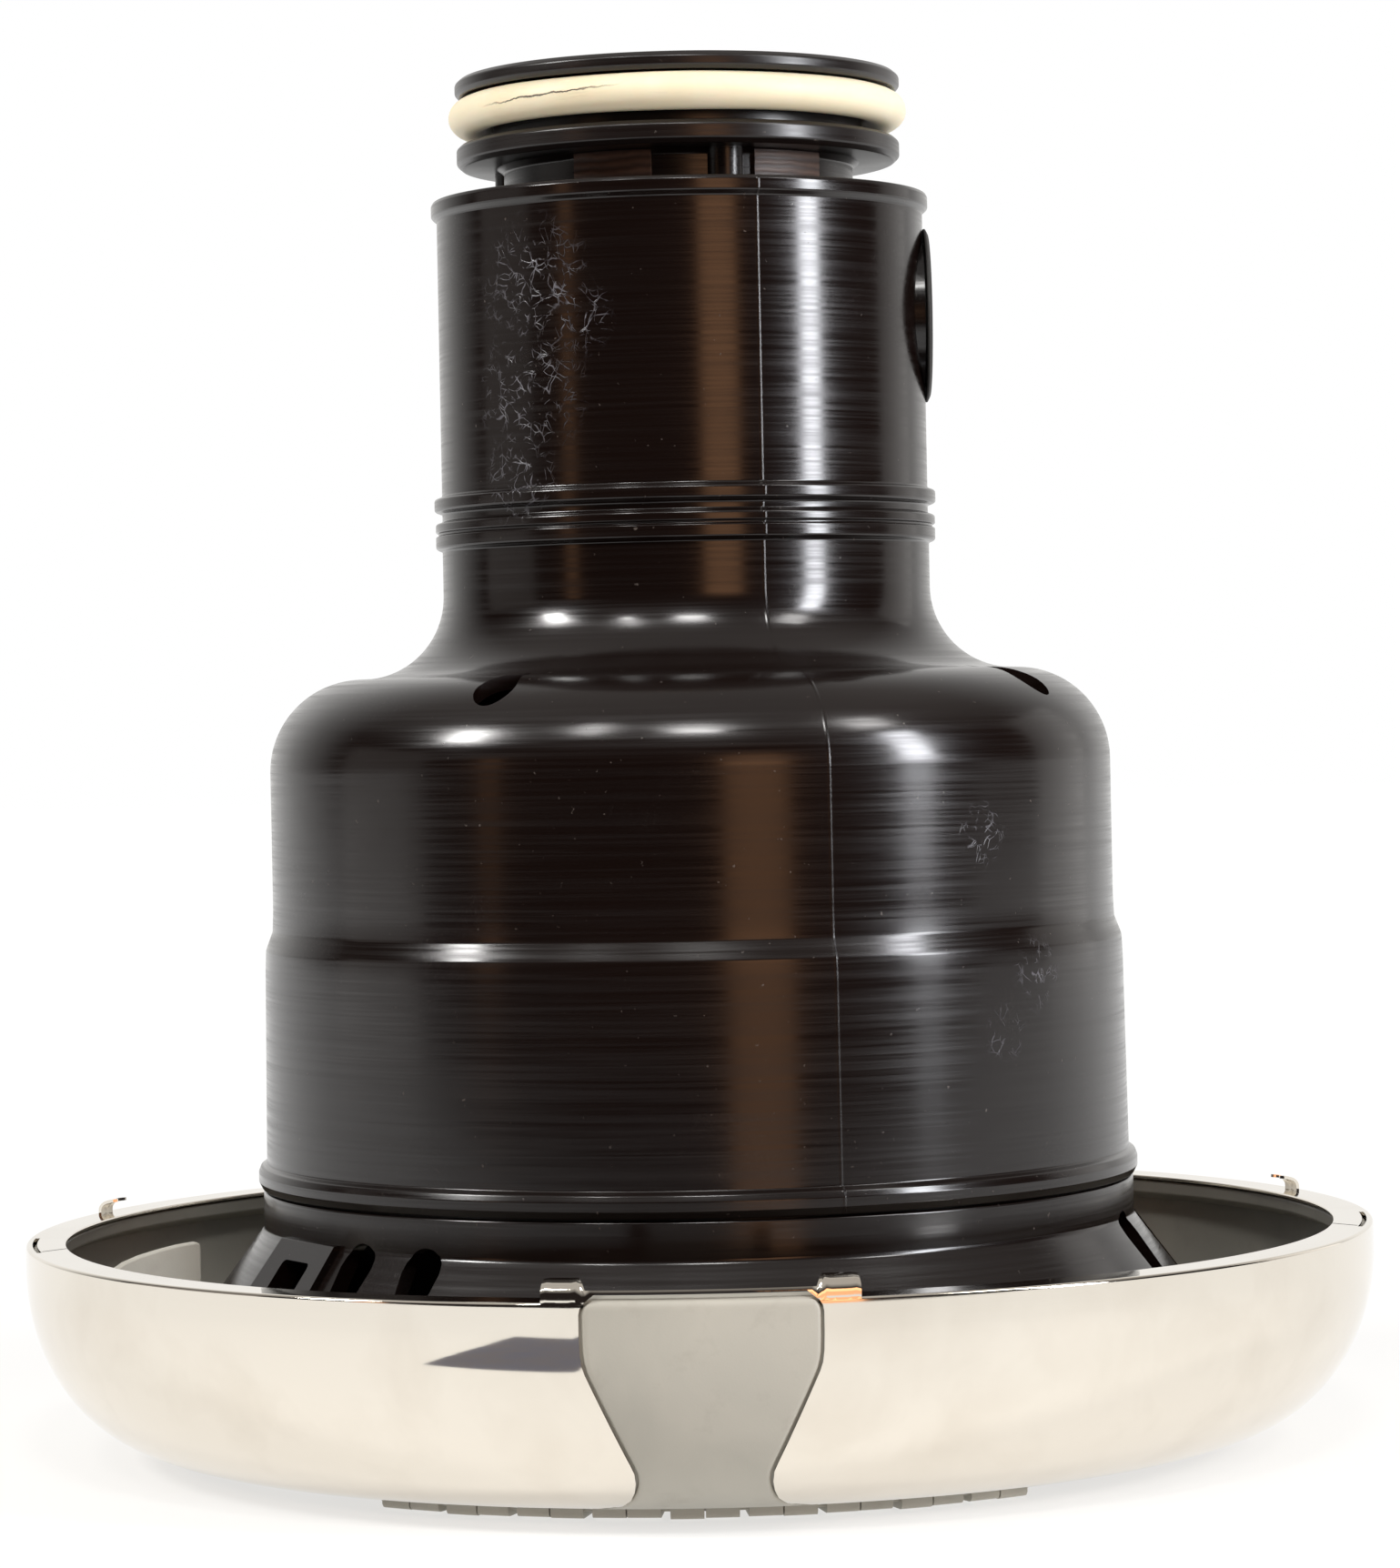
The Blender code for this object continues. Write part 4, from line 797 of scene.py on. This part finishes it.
def reflection_painted_pad():
    """The pads' faces: a painted brown reflection, duller than the neck, with level ribs 1.8 mm apart."""
    material, tree, shader, place = start_material("black_abs_with_painted_reflection", {"IOR": 1.5})
    ribs = add(tree, "TexWave",
               {"Vector": place, "Scale": WAVE_PERIOD / (1.8 * MM), "Distortion": 2.5,
                "Detail": 3.0}, wave_type="BANDS", bands_direction="Z")
    grime = add(tree, "TexNoise", {"Vector": place, "Scale": 1 / (3 * MM), "Detail": 6.0})
    spread = add(tree, "Math", {0: ribs, 1: grime}, operation="MULTIPLY")
    # The brown tone is a painted reflection, not wear. The noise named grime only mottles that painted
    # reflection and the roughness along the ribs.
    tone = add(tree, "Mix", {"Factor": spread, "A": "3a2820", "B": "6b5040"}, data_type="RGBA")
    matt = add(tree, "MapRange", {"Value": grime, "To Min": 0.35, "To Max": 0.6})
    bump = add(tree, "Bump", {"Height": ribs, "Strength": 0.6, "Distance": 0.15 * MM})
    wire(tree, shader, Base_Color=tone, Roughness=matt, Normal=bump)
    return material


neck_black = black_abs("black_abs_neck", 0.5, 0.26)[0]
neck_outline = rounded([
    (34, 298.8, 0.8), (47.6, 298.8, 0.8), (48.8, 297.8, 0.9), (48.8, 296, 0.6), (48, 295, 0.6),
    (40.4, 295, 1), (40.4, 284.4, 1), (47.6, 284.4, 0.6), (48.6, 283.5, 0.8), (48.6, 280.5, 0.8),
    (47.4, 279.4, 0.8), (39.6, 279.4, 0.8), (38.3, 278.2, 0.8), (38.3, 267.2, 0.3), (46, 267.2, 0.3),
    (46, 263.8, 0.3), (38.3, 263.8, 0.3), (38.3, 259.8, 0.5), (34, 259.8, 0.5)])
neck = make("inlet_neck", turn(bmesh.new(), neck_outline), neck_black)
for i in range(3):
    spot = around(KEY_TURN + 120 * i) @ Matrix.Translation((38.0, 0, 0))
    key = turn(bmesh.new(), [(0, 271.6), (3.9, 271.6), (3.9, 280.2), (0, 280.2)], 48)
    bmesh.ops.transform(key, matrix=spot, verts=key.verts)
    combine(neck, key, "UNION")
fit(neck, "black_plastic", "mounting_neck")
pad_section = rounded([(37.6, 271.7, 0), (39.3, 271.7, 0.3), (39.3, 279.3, 0.3), (37.6, 279.3, 0)])
pads = bmesh.new()
for middle in PAD_TURNS:
    wide = 26 if abs(middle - FRONT) < 60 else 22
    turn(pads, pad_section, 14, middle - wide / 2, wide)
# The guide pads carry a painted brown reflection in their colour.
guide_pads = make("guide_pads", pads, reflection_painted_pad())
fit(guide_pads, "black_plastic", "mounting_neck")


# ------------------------------------------------------------------ sealing ring
# A fat ring of cream rubber stretched into the neck's groove. It is a little uneven, slightly
# yellowed and grimy, with one long surface crack at the front left.


def aged_rubber():
    """Cream rubber: satin, a soft glow at its edges, yellow stains, grime and a crack."""
    material, tree, shader, place = start_material(
        "aged_cream_rubber", {"IOR": 1.52, "Subsurface Weight": 0.12, "Subsurface Scale": 0.002})
    stains = add(tree, "TexNoise",
                 {"Vector": place, "Scale": 1 / (17 * MM), "Detail": 5.0, "Distortion": 0.8})
    tone = add(tree, "Mix", {"Factor": stains, "A": "f5ead0", "B": "e8d9b3"}, data_type="RGBA")
    level = add(tree, "Mapping", {"Vector": place, "Scale": (60, 60, 700)})
    fibres = add(tree, "TexNoise", {"Vector": level, "Scale": 1.0, "Detail": 6.0, "Roughness": 0.7})
    grime = add(tree, "MapRange", {"Value": fibres, "From Min": 0.6, "From Max": 0.75, "To Max": 0.35})
    grimy = add(tree, "Mix", {"Factor": grime, "A": tone, "B": "b9a98a"}, data_type="RGBA")
    ragged = add(tree, "TexNoise",
                 {"Vector": place, "Scale": 1 / (5 * MM), "Detail": 5.0, "Roughness": 0.65})
    parts = add(tree, "SeparateXYZ", {"Vector": place})
    tilt = add(tree, "Math",
               {0: parts.outputs["X"], 1: -0.055, 2: parts.outputs["Z"]}, operation="MULTIPLY_ADD")
    wander = add(tree, "Math", {0: ragged, 1: 2.2 * MM, 2: tilt}, operation="MULTIPLY_ADD")
    off = add(tree, "Math", {0: wander, 1: -293.5 * MM}, operation="ADD")
    near = add(tree, "Math", {0: off}, operation="ABSOLUTE")
    split = add(tree, "MapRange",
                {"Value": near, "From Min": 0.03 * MM, "From Max": 0.24 * MM, "To Min": 1.0,
                 "To Max": 0.0})
    apart = add(tree, "VectorMath", {0: place, 1: (-27 * MM, -39 * MM, 292 * MM)}, operation="DISTANCE")
    reach = add(tree, "MapRange",
                {"Value": apart.outputs["Value"], "From Min": 8 * MM, "From Max": 19 * MM, "To Min": 1.0,
                 "To Max": 0.0})
    crack = add(tree, "Math", {0: split, 1: reach}, operation="MULTIPLY")
    cracked = add(tree, "Mix", {"Factor": crack, "A": grimy, "B": "3d332a"}, data_type="RGBA")
    satin = add(tree, "MapRange", {"Value": stains, "To Min": 0.42, "To Max": 0.6})
    relief = add(tree, "Bump", {"Height": fibres, "Strength": 0.2, "Distance": 0.1 * MM})
    depth = add(tree, "Math", {0: 1.0, 1: crack}, operation="SUBTRACT")
    groove = add(tree, "Bump", {"Height": depth, "Strength": 0.8, "Distance": 0.3 * MM, "Normal": relief})
    wire(tree, shader, Base_Color=cracked, Roughness=satin, Normal=groove)
    return material


def ring_mesh():
    """The ring's section is a full oval that swells and dips a little on its way round."""
    bm, rings, sides, steps = bmesh.new(), [], 240, 40
    for i in range(sides):
        degrees = 360 * i / sides
        swell = 0.10 * math.sin(math.radians(3 * degrees)) + 0.07 * math.sin(math.radians(7 * degrees))
        ring = []
        for j in range(steps):
            a = 2 * math.pi * j / steps
            bulge = abs(math.cos(a)) ** 0.9 * math.copysign(1, math.cos(a))
            ring.append(bm.verts.new(polar(45.5 + (4.8 + swell) * bulge, degrees,
                                           290.7 + (4.0 + 0.5 * swell) * math.sin(a))))
        rings.append(ring)
    for i in range(sides):
        here, beyond = rings[i], rings[(i + 1) % sides]
        for j in range(steps):
            k = (j + 1) % steps
            bm.faces.new((here[j], here[k], beyond[k], beyond[j]))
    return bm


sealing_ring = make("sealing_ring", ring_mesh(), aged_rubber())
fit(sealing_ring, "cream_rubber", "mount_seal_ring")


# ------------------------------------------------------------------ splash guard
# A black rubber baffle clipped in the throat. Eight flaps sag towards the middle, and each has
# a bead along its free edge.

guard_outline = rounded([
    (33.5, 296.2, 0.4), (33.5, 286, 0.5), (30, 286, 1), (20, 283.6, 2), (10, 281.4, 0.4),
    (9, 280.9, 0.4), (9, 283.4, 0.5), (10.4, 283.6, 0.4), (20, 286, 2), (29, 288.6, 1.5),
    (31.2, 291, 1), (31.2, 296.2, 0.5)])
guard = make("splash_baffle", turn(bmesh.new(), guard_outline, 192), black_rubber)
for i in range(4):
    slit = [(-27.5, -0.5), (27.5, -0.5), (27.5, 0.5), (-27.5, 0.5)]
    combine(guard, prism(bmesh.new(), slit, 270, 300, around(22.5 + 45 * i)))
fit(guard, "black_rubber", "splash_guard")


# ------------------------------------------------------------------ stage, light and camera
# A plain white table that ends in front of the dish, so the steel mirrors it and the black
# casing doesn't. Softboxes stand at both sides, with dim warm strips towards the front.


def ground_material():
    """White table. Far from the object it turns into an even glow, so no horizon shows."""
    material, tree, shader, place = start_material("white_table", {"Roughness": 0.7})
    tone = add(tree, "TexNoise", {"Vector": place, "Scale": 3.0})
    paint = add(tree, "Mix", {"Factor": tone, "A": "f7f6f4", "B": "fbfaf8"}, data_type="RGBA")
    wire(tree, shader, Base_Color=paint)
    glow = add(tree, "Emission", {"Color": (1.0, 0.995, 0.985, 1.0), "Strength": 1.02})
    apart = add(tree, "VectorMath", {0: place}, operation="LENGTH")
    fade = add(tree, "MapRange",
               {"Value": apart.outputs["Value"], "From Min": 0.12, "From Max": 0.5, "To Min": 0.62,
                "To Max": 1.0})
    mixed = add(tree, "MixShader", {0: fade, 1: shader, 2: glow})
    tree.links.new(mixed.outputs[0], tree.nodes["Material Output"].inputs["Surface"])
    return material


table_outline = [(-6, -0.64), (6, -0.64), (6, 8), (-6, 8)]
table_mesh = bmesh.new()
table_mesh.faces.new([table_mesh.verts.new((x / MM, y / MM, -0.15)) for x, y in table_outline])
table = make("table", table_mesh, ground_material())


def softbox(name, side, distance, height, width, tall, radiance, colour="fbfaf8", aim=0.15):
    """A lit panel, side degrees round from the front, turned to the object."""
    light = bpy.data.lights.new(name, "AREA")
    light.shape = "RECTANGLE"
    light.size = width
    light.size_y = tall
    light.energy = radiance * math.pi * width * tall
    light.color = linear(colour)[:3]
    lamp = bpy.data.objects.new(name, light)
    lamp.location = polar(distance, FRONT + side, height)
    towards = Vector((0, 0, aim)) - lamp.location
    lamp.rotation_euler = towards.to_track_quat("-Z", "Y").to_euler()
    bpy.context.scene.collection.objects.link(lamp)
    return lamp


softbox("right_core", 61.5, 1.5, 0.63, 0.25, 0.9, 30.0, "f4f6fb", aim=0.63)
softbox("right_low", 61.5, 1.5, 0.02, 0.2, 0.3, 1.6, "f4f6fb", aim=0.1)
softbox("right_edge", 118, 1.5, 0.5, 0.7, 0.9, 0.6, "f4f0ec", aim=0.5)
softbox("right_high", 58, 1.4, 1.45, 0.35, 0.35, 14.0)
softbox("left_softbox", -69, 1.6, 1.25, 0.32, 0.4, 52.0)
softbox("left_edge", -90, 1.7, 0.3, 0.95, 0.85, 0.36, "efe8e2", aim=0.3)
softbox("left_high", -32, 1.5, 1.7, 0.16, 0.4, 34.0)
softbox("top_light", 2, 1.0, 1.15, 0.26, 0.18, 34.0)
softbox("warm_strip_high", 17, 1.9, 0.41, 0.56, 0.42, 4.0, "c8936c", aim=0.41)
softbox("warm_strip_low", 17, 1.9, 0.04, 0.56, 0.32, 2.3, "c8936c", aim=0.04)
softbox("warm_strip_left", -54, 1.9, 0.36, 0.2, 0.52, 1.7, "c8936c", aim=0.36)

# A small dark card lies on the table, out of the camera's sight, for the steel to mirror.
card_material, card_tree, card_shader, card_place = start_material("dark_card", {"Roughness": 0.6})
card_tone = add(card_tree, "TexNoise", {"Vector": card_place, "Scale": 60.0, "Detail": 4.0})
card_mix = add(card_tree, "Mix", {"Factor": card_tone, "A": "5f5855", "B": "48506a"}, data_type="RGBA")
wire(card_tree, card_shader, Base_Color=card_mix)
card_mesh = bmesh.new()
card_corners = [(-152, -340), (-78, -338), (-46, -292), (-50, -206), (-116, -192)]
card_mesh.faces.new([card_mesh.verts.new((x, y, 1.0)) for x, y in card_corners])
card = make("card", card_mesh, card_material)
card.visible_camera = False
card.visible_shadow = False
card.visible_diffuse = False

world = bpy.data.worlds.new("studio")
world.use_nodes = True
sky = world.node_tree
sky.nodes.clear()
heading = add(sky, "TexCoord").outputs["Generated"]
way = add(sky, "SeparateXYZ", {"Vector": heading})
behind = add(sky, "MapRange", {"Value": way.outputs["Y"], "From Min": 0.35, "From Max": 0.85})
above = add(sky, "MapRange", {"Value": way.outputs["Z"], "From Min": 0.4, "From Max": 0.85})
ceiling = add(sky, "Mix",
              {"Factor": above, "A": (0.02, 0.016, 0.015, 1),
               "B": (0.5, 0.48, 0.46, 1)}, data_type="RGBA")
room = add(sky, "Mix", {"Factor": behind, "A": ceiling, "B": (0.95, 0.94, 0.92, 1)}, data_type="RGBA")
seen = add(sky, "LightPath").outputs["Is Camera Ray"]
backdrop = add(sky, "Mix", {"Factor": seen, "A": room, "B": (1, 1, 1, 1)}, data_type="RGBA")
shine = add(sky, "Background", {"Color": backdrop, "Strength": 1.0})
add(sky, "OutputWorld", {"Surface": shine})
bpy.context.scene.world = world
bpy.context.scene.view_settings.view_transform = "Standard"

FRAME_HEIGHT = 1724
FOCAL_LENGTH = 5500
lens_data = bpy.data.cameras.new("camera")
lens_data.sensor_width = 36
lens_data.lens = 36 * FOCAL_LENGTH / FRAME_HEIGHT
lens_data.shift_x = 12 / FRAME_HEIGHT
lens_data.shift_y = -82 / FRAME_HEIGHT
camera = bpy.data.objects.new("camera", lens_data)
camera.location = (0, -1.1, 0.1601)
camera.rotation_euler = (math.radians(90), math.radians(1.15), 0)
bpy.context.scene.collection.objects.link(camera)
bpy.context.scene.camera = camera
